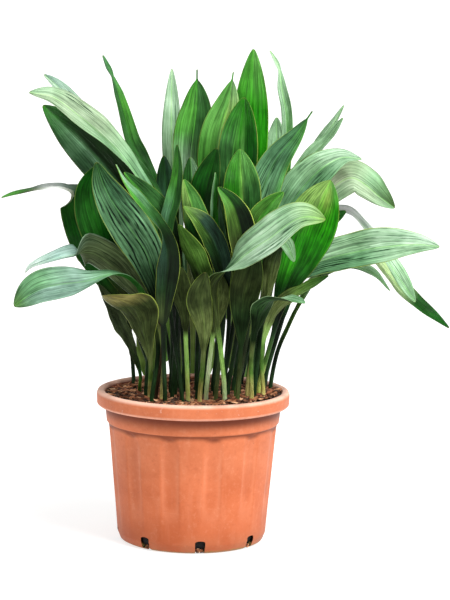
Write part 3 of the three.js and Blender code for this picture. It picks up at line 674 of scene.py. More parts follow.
            (-40, 260, 336)],
        "faces": [(0, -9, 3), (0, -1, 10), (-1, 8, 5)]},
    "leaf_back_4": {"foot": (16, 72), "width": 66, "broad": 0.8,
        "seen": [(20, 315, 100), (12, 378, 142), (3, 401, 180), (-1, 363, 216), (0, 293, 238), (4, 216, 244)],
        "faces": [(0, -9, 3), (0, -1, 10), (0, 8, 5)]},
    "leaf_back_5": {"foot": (45, 84), "width": 62, "broad": 0.72,
        "seen": [(50, 320, 115), (47, 413, 165), (51, 460, 226), (57, 419, 292), (63, 346, 334),
            (71, 276, 352)],
        "faces": [(0, -9, 3), (0, -1, 10), (1, 8, 5)]},
    "leaf_back_6": {"foot": (80, 78), "width": 58,
        "seen": [(89, 353, 105), (93, 462, 176), (95, 512, 236), (106, 498, 290)],
        "faces": [(-2, -8, 3), (0, -3, 10), (1, 5, 8)]},
    "leaf_back_7": {"foot": (50, 100), "width": 60, "broad": 0.8,
        "seen": [(67, 287, 115), (74, 355, 152), (77, 376, 188), (78, 335, 226), (76, 279, 246),
            (69, 220, 252)],
        "faces": [(-2, -8, 3), (0, -1, 10), (1, 8, 5)]},
}


# colours of the leaves, as words that the looks below use

leafTones = {
    "ink": "#0e1a0d", "night": "#182713", "bottle": "#20361d", "dark": "#1c4218", "deep": "#24581f",
    "pine": "#34622f", "moss": "#47692b", "grass": "#2c7c17", "vivid": "#267f10", "fresh": "#4a9034",
        "emerald": "#10470b",
    "spring": "#62a34c", "teal": "#4f7d57", "sea": "#6b9c6f", "sage": "#86b083", "ice": "#88aa98",
    "mint": "#a6cda4", "pale": "#bfe0bf", "frost": "#d6eadb", "olive": "#4c5730", "umber": "#2b341b",
    "brown": "#6b663b", "lime": "#8ab45c", "yellow": "#c2d070", "straw": "#b9b06a", "glow": "#c9e2a8",
    "bark": "#3a2c20", "snow": "#fbfffc", "cool": "#a9cdc0", "mist": "#b0cdb2",
    "slate": "#434f33", "dew": "#c3d3ae", "reed": "#a4bc98", "dusk": "#304b3a",
}

# upper, right half, underside and stalk run from root to tip; a patch is centre along and across,
# reach along and across, tone and strength
# the tones are colours as seen: the darkest runs on lower and inner leaves are partly painted shade, and the
# palest runs on leaves that face up are partly painted sheen
leafLooks = {
    "leaf_top_1": {"upper": "dark deep grass grass fresh", "right": "dark grass vivid vivid spring",
        "margin": 0.3},
    "leaf_top_2": {"upper": "ink dark pine pine grass", "right": "ink dark emerald emerald grass",
        "margin": 0.4,
        "patches": [(0.74, -0.12, 0.12, 0.12, "fresh", 0.8), (0.7, 0.2, 0.14, 0.12, "spring", 0.7)]},
    "leaf_top_3": {"upper": "ink dark grass grass fresh", "right": "ink dark deep pine spring", "margin": 0.4,
        "patches": [(0.6, 0.0, 0.4, 0.1, "lime", 0.5)]},
    "leaf_top_4": {"upper": "dark deep grass fresh spring spring", "right": "bottle pine sea sage lime sage",
        "streaks": 0.3},
    # the pale patch halfway along is a painted sheen reflection
    "leaf_top_5": {"upper": "bottle teal ice ice sage fresh fresh grass",
        "right": "bottle teal sage sage fresh pine pine pine",
        "streaks": 0.5, "patches": [(0.52, -0.25, 0.12, 0.45, "pale", 0.6)]},
    "leaf_top_6": {"upper": "teal sea sage mint pale", "right": "sea sage mint mint pale", "streaks": 0.5},
    "leaf_top_7": {"upper": "sage sage sage sage", "streaks": 0.3},
    "leaf_top_8": {"upper": "dark deep pine sage mint pale", "right": "dark deep pine fresh sage mint"},
    "leaf_left_1": {"upper": "ink pine teal sage sage reed reed",
        "right": "bottle pine teal sea sage reed reed mint",
        "streaks": 1.0, "margin": 0.1},
    "leaf_left_2": {"upper": "deep pine pine moss mist mist", "right": "dark pine pine pine mist ice",
        "streaks": 0.6},
    # the near-black run of the right half is painted shadow
    "leaf_left_3": {"upper": "ink dark teal teal sea grass", "right": "ink ink ink night bottle deep"},
    "leaf_left_4": {"upper": "ink dark pine pine pine teal", "right": "ink dark deep pine fresh teal"},
    # the pale run and the white patch about three quarters along are a painted highlight on the fold
    "leaf_left_5": {"upper": "umber umber dark emerald dark emerald dark deep cool pine fresh spring",
        "margin": 0.1,
        "patches": [(0.75, 0.0, 0.06, 3.0, "snow", 1.0)]},
    "leaf_left_6": {"upper": "umber umber deep deep emerald", "right": "umber umber emerald deep emerald"},
    "leaf_left_7": {"upper": "ink bottle sea sea sea pine", "right": "ink bottle sea sea teal pine",
        "streaks": 0.6, "pleats": 1.0, "margin": 0.4},
    "leaf_left_8": {"upper": "olive bottle dusk dusk fresh spring",
        "right": "umber night night night pine sea mint",
        "margin": 0.6},
    "leaf_left_9": {"upper": "ink bottle pine fresh", "right": "ink ink bottle pine pine", "streaks": 0.5},
    "leaf_left_10": {"upper": "deep teal sage ice cool frost", "under": "umber slate slate umber",
        "streaks": 0.5,
        "margin": 0.1, "patches": [(0.76, -0.8, 0.08, 0.4, "ice", 0.6)]},
    "leaf_left_11": {"upper": "dark teal sea sea ice ice sea", "right": "dark olive sea sea ice sea sea",
        "under": "olive deep deep umber", "streaks": 0.7, "margin": 0.1,
        "patches": [(0.98, 0.0, 0.05, 2.0, "moss", 0.8)]},
    "leaf_left_12": {"upper": "bottle slate slate slate"},
    "leaf_mid_1": {"upper": "ink dark pine teal fresh pine", "right": "ink ink pine pine pine"},
    "leaf_mid_2": {"upper": "ink ink dusk dark", "right": "ink ink dark dusk"},
    "leaf_mid_3": {"upper": "ink ink dark lime", "right": "ink ink pine spring", "margin": 0.6},
    "leaf_mid_4": {"upper": "ink ink bottle bottle moss lime", "right": "ink ink dusk dusk dusk lime",
        "margin": 0.9},
    "leaf_mid_5": {"upper": "ink dark emerald deep", "right": "ink ink dark deep"},
    "leaf_mid_6": {"upper": "ink teal sea sage", "right": "ink deep grass pine"},
    "leaf_mid_7": {"upper": "ink ink night umber moss spring", "right": "ink ink ink ink night deep",
        "margin": 1.0},
    "leaf_mid_8": {"upper": "dark grass moss fresh", "right": "dark deep grass spring", "margin": 0.8},
    "leaf_mid_9": {"upper": "ink pine sea teal pine", "right": "ink pine sea teal fresh", "streaks": 0.8,
        "margin": 0.4, "patches": [(0.6, 0.9, 0.5, 0.25, "fresh", 0.6)]},
    "leaf_mid_10": {"upper": "ink deep deep pine", "right": "ink pine teal sage"},
    "leaf_right_1": {"upper": "dark pine sea sage pale", "right": "dark pine teal sea mint", "streaks": 0.7},
    "leaf_right_2": {"upper": "dark deep sage reed dew sage moss",
        "right": "dark dark dark dark sage reed reed sage",
        "under": "night umber umber", "patches": [(0.5, 0.8, 0.1, 0.6, "umber", 0.95)]},
    # the yellow and lime patches near the tip are painted highlights
    "leaf_right_3": {"upper": "ink ink dark grass vivid vivid lime lime",
        "right": "ink ink night deep vivid vivid vivid spring",
        "patches": [(0.9, 0.3, 0.09, 0.25, "yellow", 0.4), (0.84, -0.4, 0.12, 0.4, "lime", 0.6)]},
    "leaf_right_4": {"upper": "pine teal mint sage pale pale", "right": "pine teal sea sea mint mint",
        "streaks": 0.9, "margin": 0.5},
    # the near-white runs, on both faces, are a painted highlight
    "leaf_right_5": {"upper": "deep snow snow snow pale mint sage", "under": "sage snow snow pale mint",
        "streaks": 0.7,
        "margin": 0.1},
    "leaf_right_6": {"upper": "deep sage glow glow deep emerald"},
    "leaf_right_7": {"upper": "dark pine fresh sage sage"},
    "leaf_right_8": {"upper": "dark pine fresh sage mint"},
    "leaf_right_9": {"upper": "moss moss moss", "under": "lime olive olive moss dark"},
    "leaf_right_10": {"upper": "ink night dark deep"},
    "leaf_right_11": {"upper": "night moss sage sage"},
    "leaf_front_1": {"upper": "olive brown brown", "under": "olive umber umber umber brown brown",
        "margin": 0.45},
    "leaf_front_2": {"upper": "olive moss moss", "under": "umber umber umber umber umber"},
    "leaf_front_3": {"upper": "olive moss moss", "under": "umber olive olive umber umber umber",
        "margin": 0.45},
    "leaf_front_4": {"upper": "dark pine teal sage mint mint lime",
        "right": "dark pine mint mint pale mint lime",
        "under": "olive umber moss olive", "streaks": 0.9, "margin": 0.4},
    "leaf_front_5": {"upper": "olive moss moss", "under": "umber olive olive umber"},
    "leaf_front_6": {"upper": "olive moss moss", "under": "night night umber night"},
    "leaf_front_7": {"upper": "deep sea mint sea", "under": "ink night bottle umber", "streaks": 0.9},
    "leaf_front_8": {"upper": "olive moss moss", "under": "night umber moss moss", "margin": 0.45},
    "leaf_front_9": {"upper": "deep teal sage sage", "under": "umber olive night ink"},
}
usualLook = {"upper": "ink dark deep deep", "under": "umber umber olive moss",
        "stalk": "bottle bottle ink ink",
    "margin": 0.2, "streaks": 0.25, "pleats": 0.0, "patches": []}
brightStalks = {
    "leaf_front_1": "straw moss olive", "leaf_front_2": "yellow lime lime", "leaf_front_5": "glow glow lime",
    "leaf_front_4": "glow lime lime", "leaf_front_3": "straw moss olive", "leaf_front_6": "olive umber night",
    "leaf_front_7": "straw moss olive", "leaf_mid_7": "moss umber night", "leaf_mid_8": "straw moss bottle",
    "leaf_right_3": "yellow moss bottle", "leaf_right_9": "straw moss moss",
        "leaf_left_7": "straw moss bottle",
    "leaf_left_10": "bark bark bark", "leaf_left_12": "moss fresh deep", "leaf_mid_4": "olive bottle ink",
}
# how a tone that is seen is turned into the colour painted on the leaf, with an even level of light and sheen
# taken out, and where one tone goes over into another
paintSettings = {
    "sheen": 0.005,
    "sheenUnder": 0.3,  # share of the sheen on undersides and stalks
    "level": 1.2,
    "levelUnder": 0.78,
    "leastShare": 0.5,
    "halfBlend": 5.0,
    "stalkBlend": 9.0,
}


def toneRun(words, shares):
    tones = np.array([linearColour(leafTones[word]) for word in words.split()])
    marks = np.linspace(0, 1, len(tones))
    return np.stack([np.interp(shares, marks, tones[:, k]) for k in range(3)], axis=1)


def near(values, centre, reach):
    return np.exp(-((values - centre) / reach) ** 2)


# lays the look of a leaf on its mesh as attributes that the leaf material reads
def paintLeaf(mesh, name, seed):
    s, look = paintSettings, {**usualLook, **leafLooks.get(name, {}), "seed": seed}
    side, along, under = (numbersOf(mesh, title) for title in ("side", "along", "under"))
    blade = np.clip(along, 0, 1)
    left = toneRun(look["upper"], blade)
    right = toneRun(look.get("right", look["upper"]), blade)
    tone = left + (right - left) * np.clip(side * s["halfBlend"] + 0.5, 0, 1)[:, None]
    tone += (toneRun(look["under"], blade) - tone) * under[:, None]
    for middle, across, reach, width, word, strength in look["patches"]:
        spread = strength * near(blade, middle, reach) * near(side, across, width)
        tone += (np.array(linearColour(leafTones[word])) - tone) * spread[:, None]
    stalk = toneRun(brightStalks.get(name, look["stalk"]), np.clip(along + 1, 0, 1))
    stalkShare = np.clip(1 - blade * s["stalkBlend"], 0, 1)
    tone += (stalk - tone) * stalkShare[:, None]
    dull = np.maximum(under, stalkShare)[:, None]
    level = s["level"] + (s["levelUnder"] - s["level"]) * dull
    sheen = s["sheen"] * (1 - (1 - s["sheenUnder"]) * dull)
    tone = np.maximum(tone - sheen, tone * s["leastShare"]) / level
    layer = mesh.attributes.new("tone", "FLOAT_COLOR", "POINT")
    layer.data.foreach_set("color", np.hstack((tone, np.ones((len(tone), 1)))).astype(np.float32).ravel())
    for title in ("margin", "streaks", "pleats", "seed"):
        layer = mesh.attributes.new(title, "FLOAT", "POINT")
        layer.data.foreach_set("value", np.full(len(tone), look[title], np.float32))


skinTones = {
    "streak": "#d9ecd6", "shade": "#3f7a50", "creaseShade": "#2c6244", "valleyShade": "#0c1f14", "rib": "#cfe6b4",
    "margin": "#bcd45e", "tip": "#7d6f38",
}


def makeLeafSkin(title, gloss, leastRough):
    material, tree, surface = newMaterial(title, Specular_IOR_Level=gloss)
    side, along, seed, streaks = (attribute(tree, name) for name in ("side", "along", "seed", "streaks"))
    away, blade = side.do("ABSOLUTE"), along.do("MAXIMUM", 0.0)

    def veins(across, length, detail=2.0, roughness=0.5):
        return noise(vector(tree, side * across, along * length, seed * 7.3), 1.0, detail, roughness)

    strayed = (veins(1.6, 3.4) - 0.5) * 0.22 + side

    def strands(across, length, detail=2.0):
        return noise(vector(tree, strayed * across, along * length, seed * 5.1 + across), 1.0, detail)

    def greyOf(value, low, high, start, end):
        grey = between(value, low, high, start, end)
        return wire(tree, "ShaderNodeCombineColor", {"Red": grey, "Green": grey, "Blue": grey})

    fine, hair = strands(21.0, 3.0, 3.0), strands(44.0, 4.0, 1.0)
    broad, dash = strands(9.0, 1.8), strands(13.0, 6.5)
    pucker, patchy = veins(3.4, 7.5, 2.0, 0.6), veins(1.3, 3.0, 1.0)
    cloud = noise(objectPlace(tree), 26.0)

    # short creases along the leaf, bumped in and darkened with painted shade
    creaseShade = between(dash, 0.53, 0.61) * between(patchy, 0.38, 0.6, 0.2, 1.0)
    # painted shade in the valleys between the pleats
    ridge = (veins(1.8, 4.5) - 0.5) * 0.3 + (side + ribWander(side, along))
    ridge = (ridge * (leafSettings["pleats"] * math.pi)).do("COSINE")
    valleyShade = between(ridge, 0.1, -0.75) * attribute(tree, "pleats") * between(pucker, 0.4, 0.58, 0.2, 1.0)
    # the midrib, the margin and the dry tip
    rib = between(attribute(tree, "fromRib"), 1.6 * mm, 0.5 * mm) * (
        between(blade, 0.05, 0.2) * (attribute(tree, "under") * -0.3 + 0.5))
    margin = between(away, 0.945, 0.98) * (attribute(tree, "margin") * between(blade, 0.03, 0.12))

    colour = attribute(tree, "tone", "Color")
    for share, tone, blend in (
            (between(broad, 0.45, 0.66) * streaks * 0.22, skinTones["streak"], "SOFT_LIGHT"),
            (between(broad, 0.5, 0.34) * streaks * 0.35, skinTones["shade"], "MULTIPLY"),
            (creaseShade * (streaks * 0.75 + 0.25), skinTones["creaseShade"], "MULTIPLY"),
            (valleyShade, skinTones["valleyShade"], "MIX"),
            # painted light and shade over the puckers, from the same noise as their bump
            (0.4, greyOf(pucker, 0.3, 0.7, 0.2, 0.8), "SOFT_LIGHT"),
            (0.55, greyOf(fine, 0.27, 0.73, 0.12, 0.9), "OVERLAY"),
            (0.3, greyOf(hair, 0.3, 0.7, 0.25, 0.78), "OVERLAY"),
            (0.6, greyOf(cloud, 0.3, 0.7, 0.2, 0.8), "SOFT_LIGHT"),
            (rib, skinTones["rib"], "OVERLAY"),
            (margin, skinTones["margin"], "MIX"),
            (between(blade, 0.985, 1.0) * 0.25, skinTones["tip"], "MIX")):
        colour = mixColour(tree, share, colour, tone, blend)
    height = pucker * 4.0 + (hair * 0.35 + (dash * -0.9 + fine))
    dress(surface, {"Base Color": colour, "Roughness": fine * 0.14 + leastRough,
                    "Normal": bumped(height, 0.6, 0.8 * mm)})
    return material


bladeTree = makeBladeTree()
leafSkin = makeLeafSkin("leafSkin", 0.1, 0.32)
leafBack = makeLeafSkin("leafBack", 0.03, 0.5)
for number, (name, shape) in enumerate(leafShapes.items()):
    points, numbers, vectors = leafStations(shape)
    pleated = leafLooks.get(name, {}).get("pleats", 0) > 0
    leaf = grown(name + "_blade", meshFrom(name + "Spine", points, (), numbers, vectors), bladeTree, {
        "Rows": len(points),
        "Columns": leafSettings["pleatedColumns" if pleated else "columns"],
        "Ribs": leafSettings["pleats" if pleated else "ribs"],
        "Rib depth": leafSettings["pleatDepth" if pleated else "ribDepth"] * mm,
        "Keel half width": leafSettings["keelHalfWidth"] * mm,
        "Groove depth": leafSettings["grooveDepth"] * mm,
        "Ripple": leafSettings["ripple"] * mm,
        "Sway": leafSettings["sway"] * mm,
        "Seed": float(number) * 2.4,
        "Upper material": leafSkin,
        "Under material": leafBack,
    })
    paintLeaf(leaf.data, name, float(number))
    settle(leaf, "leaf", name)
print("leaves grown:", len(leafShapes))


# the pot: a rounded outline turned round the upright axis, with flutes pressed in and drain notches cut

potSettings = {
    "outline": [(0, 0), (98, 0), (104, 3), (108, 13), (111, 50), (116, 105), (120, 150), (121.8, 168),
        (122.6, 173), (125.2, 175), (127.8, 198), (136.5, 198.5), (139.5, 201), (140, 215), (138.5, 219.5),
        (134.5, 221), (130, 220), (128, 217), (125, 201), (122, 178), (118.5, 172), (104, 14), (97, 3),
        (0, 3)],
    "outsideCorners": 9,  # the first corners of the outline, where the flutes are
    "rounding": 1.4,  # mm, as the lengths below
    "rowGap": 5.0,
    "fluteDepth": 2.5,
    "fluteHalfWidth": 14.0,
    "fluteFoot": 18.0,
    "fluteRise": 60.0,  # over which a flute gets its full depth
    "fluteHead": 170.0,
    "fluteArch": 12.0,
    "notchWidth": 14.8,
    "notchHeight": 20.0,
    "notchArch": 0.4,  # height of the arch over half its width
    "notchFirst": -82.4,  # degrees
    "notchCount": 8,
    "fluteCount": 12,
    "turns": 360,
    "sharpEdge": 40.0,  # degrees
}


# the outline with its corners rounded and its long straights split into rows
def potRows():
    s = potSettings
    corners = [np.array(c, float) for c in s["outline"]]
    rows = [(corners[0], 1.0)]
    for i in range(1, len(corners) - 1):
        before, here, after = corners[i - 1], corners[i], corners[i + 1]
        outside = 1.0 if i < s["outsideCorners"] else 0.0
        a, b = before - here, after - here
        cut = min(s["rounding"], 0.35 * np.linalg.norm(a), 0.35 * np.linalg.norm(b))
        start, end = here + a / np.linalg.norm(a) * cut, here + b / np.linalg.norm(b) * cut
        for t in (0.0, 0.33, 0.67, 1.0):
            rows.append(((1 - t) ** 2 * start + 2 * t * (1 - t) * here + t * t * end, outside))
    rows.append((corners[-1], 0.0))
    full = [rows[0]]
    for (a, flagA), (b, flagB) in zip(rows, rows[1:]):
        steps = max(1, int(np.linalg.norm(b - a) / s["rowGap"]))
        for k in range(1, steps + 1):
            full.append((a + (b - a) * k / steps, flagB if k == steps else min(flagA, flagB)))
    return full


def makePotTree():
    tree, given, out = newTree("potTurned", "Outline", "Pot", [
        ("Rows", "Int"), ("Turns", "Int"), ("Flute count", "Float"), ("Flute depth", "Float"),
        ("Flute half width", "Float"), ("Flute foot", "Float"), ("Flute rise", "Float"),
        ("Flute head", "Float"), ("Flute arch", "Float"), ("Notch count", "Int"), ("Notch first", "Float"),
        ("Notch width", "Float"), ("Notch height", "Float"), ("Notch arch", "Float"),
        ("Material", "Material"),
    ])
    grid, turn, row = flatGrid(tree, given("Turns") + 1.0, given("Rows"))
    radius, height, outside = (
        sampled(given("Outline"), named(tree, name), row) for name in ("radius", "height", "outside"))

    # flutes, each with an arch for its head
    angle = turn * (2 * math.pi)
    pitch = 2 * math.pi / given("Flute count")
    beside = angle - pitch * 0.5
    beside = beside - (beside / pitch).do("ROUND") * pitch
    share = beside * radius / given("Flute half width")
    share = share * share
    across = (1.0 - share).do("MAXIMUM", 0.0) ** 0.7
    rising = ((height - given("Flute foot")).do("MAXIMUM", 0.0) / given("Flute rise")).do("MINIMUM", 1.0)
    ending = between(height - (given("Flute head") - share * given("Flute arch")), 2 * mm, -4 * mm)
    press = across * rising * (ending * outside)
    radius = radius - press * given("Flute depth")
    place = vector(tree, radius * angle.do("COSINE"), radius * angle.do("SINE"), height)
    wall = chain(stored(grid, "press", press), ("SetPosition", {"Position": place}),
                 ("MergeByDistance", {"Distance": 0.02 * mm}))

    # arched cutters for the drain notches: a flat arch on long legs, laid along +X and set round a ring
    halfWidth = given("Notch width") * 0.5
    cutter = wire(tree, "GeometryNodeMeshCylinder", {"Vertices": 32, "Radius": halfWidth, "Depth": 40 * mm})
    x, y, z = partsOf(position(tree))
    stretch = x.do("LESS_THAN", 0.0) * 4.0 + given("Notch arch")
    rise = given("Notch height") - halfWidth * given("Notch arch")
    cutter = chain(
        cutter, ("SetPosition", {"Position": vector(tree, x * stretch, y, z)}),
        ("Transform", {"Rotation": (0, -math.pi / 2, 0)}),
        ("Transform", {"Translation": vector(tree, 110 * mm, 0.0, rise)}))
    spots = wire(tree, "GeometryNodeMeshLine", {"Count": given("Notch count"), "Offset": (0.0, 0.0, 0.0)})
    index = wire(tree, "GeometryNodeInputIndex")
    turned = given("Notch first") + index * (2 * math.pi) / given("Notch count")
    cutters = wire(tree, "GeometryNodeInstanceOnPoints", {
        "Points": spots, "Instance": cutter, "Rotation": vector(tree, 0.0, 0.0, turned)})
    cut = wire(tree, "GeometryNodeMeshBoolean", {
        "Mesh 1": wall, "Mesh 2": chain(cutters, ("RealizeInstances", {}))},
        operation="DIFFERENCE", solver="EXACT")
    plug(tree, out.inputs[0], chain(
        cut, ("SetShadeSmooth", {}), ("RealizeInstances", {}),
        ("SetMaterial", {"Material": given("Material")})))
    return tree


potTones = {
    "dark": "#ba5e35", "light": "#cb6e45", "paleHigh": "#ec9c74", "run": "#dd9270", "scrape": "#e8ad8c",
    "stain": "#ab5230", "fleck": "#e09a78", "fluteEdgeHighlight": "#eda583", "pressed": "#9c4a2b", "underRimShade": "#5c1c06",
    "ledge": "#5e210b", "lip": "#efb9a2", "crestHighlight": "#f6c8b2", "nick": "#f3cdbb", "dust": "#a98a6a",
    "foot": "#8f4222", "notchInsideShade": "#060302", "crumb": "#8f7a3e", "speck": "#8f5238",
}


# heights and radii in here are in metres
def makePotPlastic():
    material, tree, surface = newMaterial("potPlastic", Specular_IOR_Level=0.2)
    place = objectPlace(tree)
    x, y, height = partsOf(place)
    radius = (x * x + y * y).do("SQRT")

    def stretched(across, upright, detail, roughness):
        spots = wire(tree, "ShaderNodeMapping", {"Vector": place, "Scale": (across, across, upright)})
        return noise(spots, 1.0, detail, roughness)

    cloud = noise(place, 16.0, 5.0, 0.6)
    runs = stretched(60.0, 9.0, 4.0, 0.6)
    scrapes = stretched(22.0, 260.0, 4.0, 0.7)
    grain = noise(place, 900.0, 2.0, 0.5)
    mottle = noise(place, 130.0, 5.0, 0.7)
    crumbs = between(noise(place, 420.0, 2.0, 0.6), 0.44, 0.54)
    specks = between(noise(place, 210.0, 2.0, 0.5), 0.73, 0.78)

    # the flutes: a painted highlight along their edges, and painted shade in the middle of each recess
    press = attribute(tree, "press")
    edge = (press - 0.5) / 0.28
    edge = (edge * edge * -1.0).do("EXPONENT")
    fluteEdgeHighlight = between(height, 0.03, 0.06) * between(height, 0.16, 0.13)
    # painted shade in the corner under the rim
    under = between(height, 0.177, 0.196) * between(radius, 0.1375, 0.135)
    under = under * between(radius, 0.1235, 0.1255)
    # the shade under the collar, which reaches lower over the middle of each flute
    turn = y.do("ARCTAN2", x) * float(potSettings["fluteCount"])
    middle = turn.do("COSINE") * -0.5 + 0.5
    lowered = middle ** 3.0 * 0.0045 + height
    ledge = between(lowered, 0.1655, 0.1735) * between(height, 0.1742, 0.1732)
    # pale marks on the rim: a line on its lower edge that is partly wear and partly painted highlight, a
    # painted highlight along its top edge, and nicks of wear
    lip = between(height, 0.2035, 0.2005) * between(radius, 0.1355, 0.1375)
    crestHighlight = between(height, 0.2145, 0.2195) * between(cloud, 0.3, 0.55, 0.5, 1.0)
    nicks = between(mottle, 0.62, 0.7) * between(height, 0.199, 0.203)
    # splashed earth near the foot, painted shade on the inside of the notches, and the crumbs in them
    dust = between(height, 0.035, 0.0) * between(cloud, 0.35, 0.6)
    inward = height.do("MINIMUM", 0.013) * -0.4 + radius
    notchInsideShade = between(height, 0.0225, 0.0215) * between(inward, 0.1026, 0.1018)
    pile = between(x, 0.0, 0.012) * between(height, 0.006, 0.003)
    pile = pile.do("MAXIMUM", notchInsideShade * between(height, 0.011, 0.007))
    pile = pile.do("MAXIMUM", between(height, 0.005, 0.001))

    colour = mixColour(tree, between(cloud, 0.3, 0.7), potTones["dark"], potTones["light"])
    for share, strength, tone in (
            # paler higher up the wall
            (between(height, 0.08, 0.14), 0.16, "paleHigh"),
            (between(runs, 0.5, 0.72), 0.2, "run"),
            (between(scrapes, 0.6, 0.75), 0.12, "scrape"),
            (between(mottle, 0.5, 0.72), 0.32, "stain"),
            (between(mottle, 0.48, 0.3), 0.22, "fleck"),
            (edge * fluteEdgeHighlight, 0.12, "fluteEdgeHighlight"),
            (between(press, 0.7, 1.0), 0.1, "pressed"),
            (under, 0.85, "underRimShade"),
            (ledge * between(cloud, 0.25, 0.5, 0.75, 1.0), 0.75, "ledge"),
            (lip * between(mottle, 0.3, 0.6, 0.4, 1.0), 0.6, "lip"),
            (crestHighlight, 0.85, "crestHighlight"),
            (nicks, 0.4, "nick"),
            (dust, 0.3, "dust"),
            (between(height, 0.07, 0.0), 0.4, "foot"),
            (notchInsideShade * between(height, 0.0018, 0.003), 1.0, "notchInsideShade"),
            (crumbs * pile, 0.85, "crumb"),
            (specks, 0.5, "speck")):
        colour = mixColour(tree, share * strength, colour, potTones[tone])
    relief = bumped(scrapes * 0.3 + mottle, 0.25, 0.6 * mm, Normal=bumped(grain, 0.12, 0.3 * mm))
    dress(surface, {"Base Color": colour, "Roughness": cloud * 0.22 + (scrapes * 0.12 + 0.32),
                    "Normal": relief})
    return material


rows = potRows()
radii, heights = [p[0] * mm for p, _ in rows], [p[1] * mm for p, _ in rows]
outline = meshFrom("potOutline", [(r, 0, h) for r, h in zip(radii, heights)], (), {
    "radius": radii, "height": heights, "outside": [flag for _, flag in rows]})
pot = grown("pot_body", outline, makePotTree(), {
    "Rows": len(rows), "Turns": potSettings["turns"], "Flute count": float(potSettings["fluteCount"]),
    "Flute depth": potSettings["fluteDepth"] * mm, "Flute half width": potSettings["fluteHalfWidth"] * mm,
    "Flute foot": potSettings["fluteFoot"] * mm, "Flute rise": potSettings["fluteRise"] * mm,
    "Flute head": potSettings["fluteHead"] * mm, "Flute arch": potSettings["fluteArch"] * mm,
    "Notch count": potSettings["notchCount"], "Notch first": math.radians(potSettings["notchFirst"]),
    "Notch width": potSettings["notchWidth"] * mm, "Notch height": potSettings["notchHeight"] * mm,
    "Notch arch": potSettings["notchArch"], "Material": makePotPlastic(),
})
pot.data.set_sharp_from_angle(angle=math.radians(potSettings["sharpEdge"]))
settle(pot, "pot", "pot")
print("pot made:", len(pot.data.polygons), "faces")


# the soil: the solid with an earthy finish, and bark chips strewn over its top

soilSettings = {
    "topRadius": 125.0,  # mm
    "rings": 26,
    "spokes": 90,
    "chipDensity": 17000.0,  # pieces a square metre, as the next two
    "crumbDensity": 42000.0,
    "shredDensity": 2600.0,
    "aboveSoil": 0.4,  # mm
    "edgeHeap": 3.0,  # mm
    "lumps": [(-82, 46, 13, 9), (100, 36, 14, 6), (62, -78, 18, 2), (-28, -96, 20, 2.5), (16, -92, 16, 2),
        (-104, -20, 16, 4), (112, -12, 12, 4)],  # place, reach and height
    "seed": 11,
}
# sizes in metres, how finely the ball that a piece is made from is divided, and what the seed goes up by
chipKinds = {
    "Chip": {"least": (0.0028, 0.0017, 0.0009), "most": (0.0078, 0.0042, 0.0024), "detail": 2, "shift": 0.0},
    "Crumb": {"least": (0.0010, 0.0008, 0.0006), "most": (0.0026, 0.0020, 0.0014), "detail": 1, "shift": 5.0},
    "Shred": {"least": (0.006, 0.0012, 0.0007), "most": (0.013, 0.0030, 0.0016), "detail": 2, "shift": 9.0},
}
soilTones = {
    "dark": "#150b06", "light": "#452716", "lowDark": "#040201", "fibre": "#c08e60",
    "bark": {0.0: "#1a0d07", 0.25: "#43210f", 0.55: "#844527", 0.8: "#b3744b", 1.0: "#dcaa80"},
}


def makeSoilEarth():
    material, tree, surface = newMaterial("soilEarth")
    place = objectPlace(tree)
    clods = noise(place, 120.0, 5.0, 0.7)
    colour = mixColour(tree, between(clods, 0.35, 0.7), soilTones["dark"], soilTones["light"])
    # nearly black low down, where it shows in the notches
    colour = mixColour(tree, between(partsOf(place)[2], 0.03, 0.022), colour, soilTones["lowDark"])
    dress(surface, {"Base Color": colour, "Roughness": clods * 0.2 + 0.75,
                    "Normal": bumped(clods, 0.9, 3 * mm)})
    return material


def makeBark():
    material, tree, surface = newMaterial("barkChips")
    spots = wire(tree, "ShaderNodeMapping", {"Vector": objectPlace(tree), "Scale": (900.0, 300.0, 900.0)})
    fibre = noise(spots, 1.0, 3.0, 0.6)
    ramp = addNode(tree, "ShaderNodeValToRGB", {"Fac": attribute(tree, "chip")})
    stops = ramp.color_ramp.elements
    for place in list(soilTones["bark"])[1:-1]:
        stops.new(place)
    for stop, code in zip(stops, soilTones["bark"].values()):
        stop.color = linearColour(code) + [1]
    share = between(fibre, 0.45, 0.75) * 0.3
    dress(surface, {"Base Color": mixColour(tree, share, Wire(tree, ramp.outputs[0]), soilTones["fibre"]),
                    "Roughness": fibre * 0.2 + 0.7, "Normal": bumped(fibre, 0.5, 0.8 * mm)})
    return material


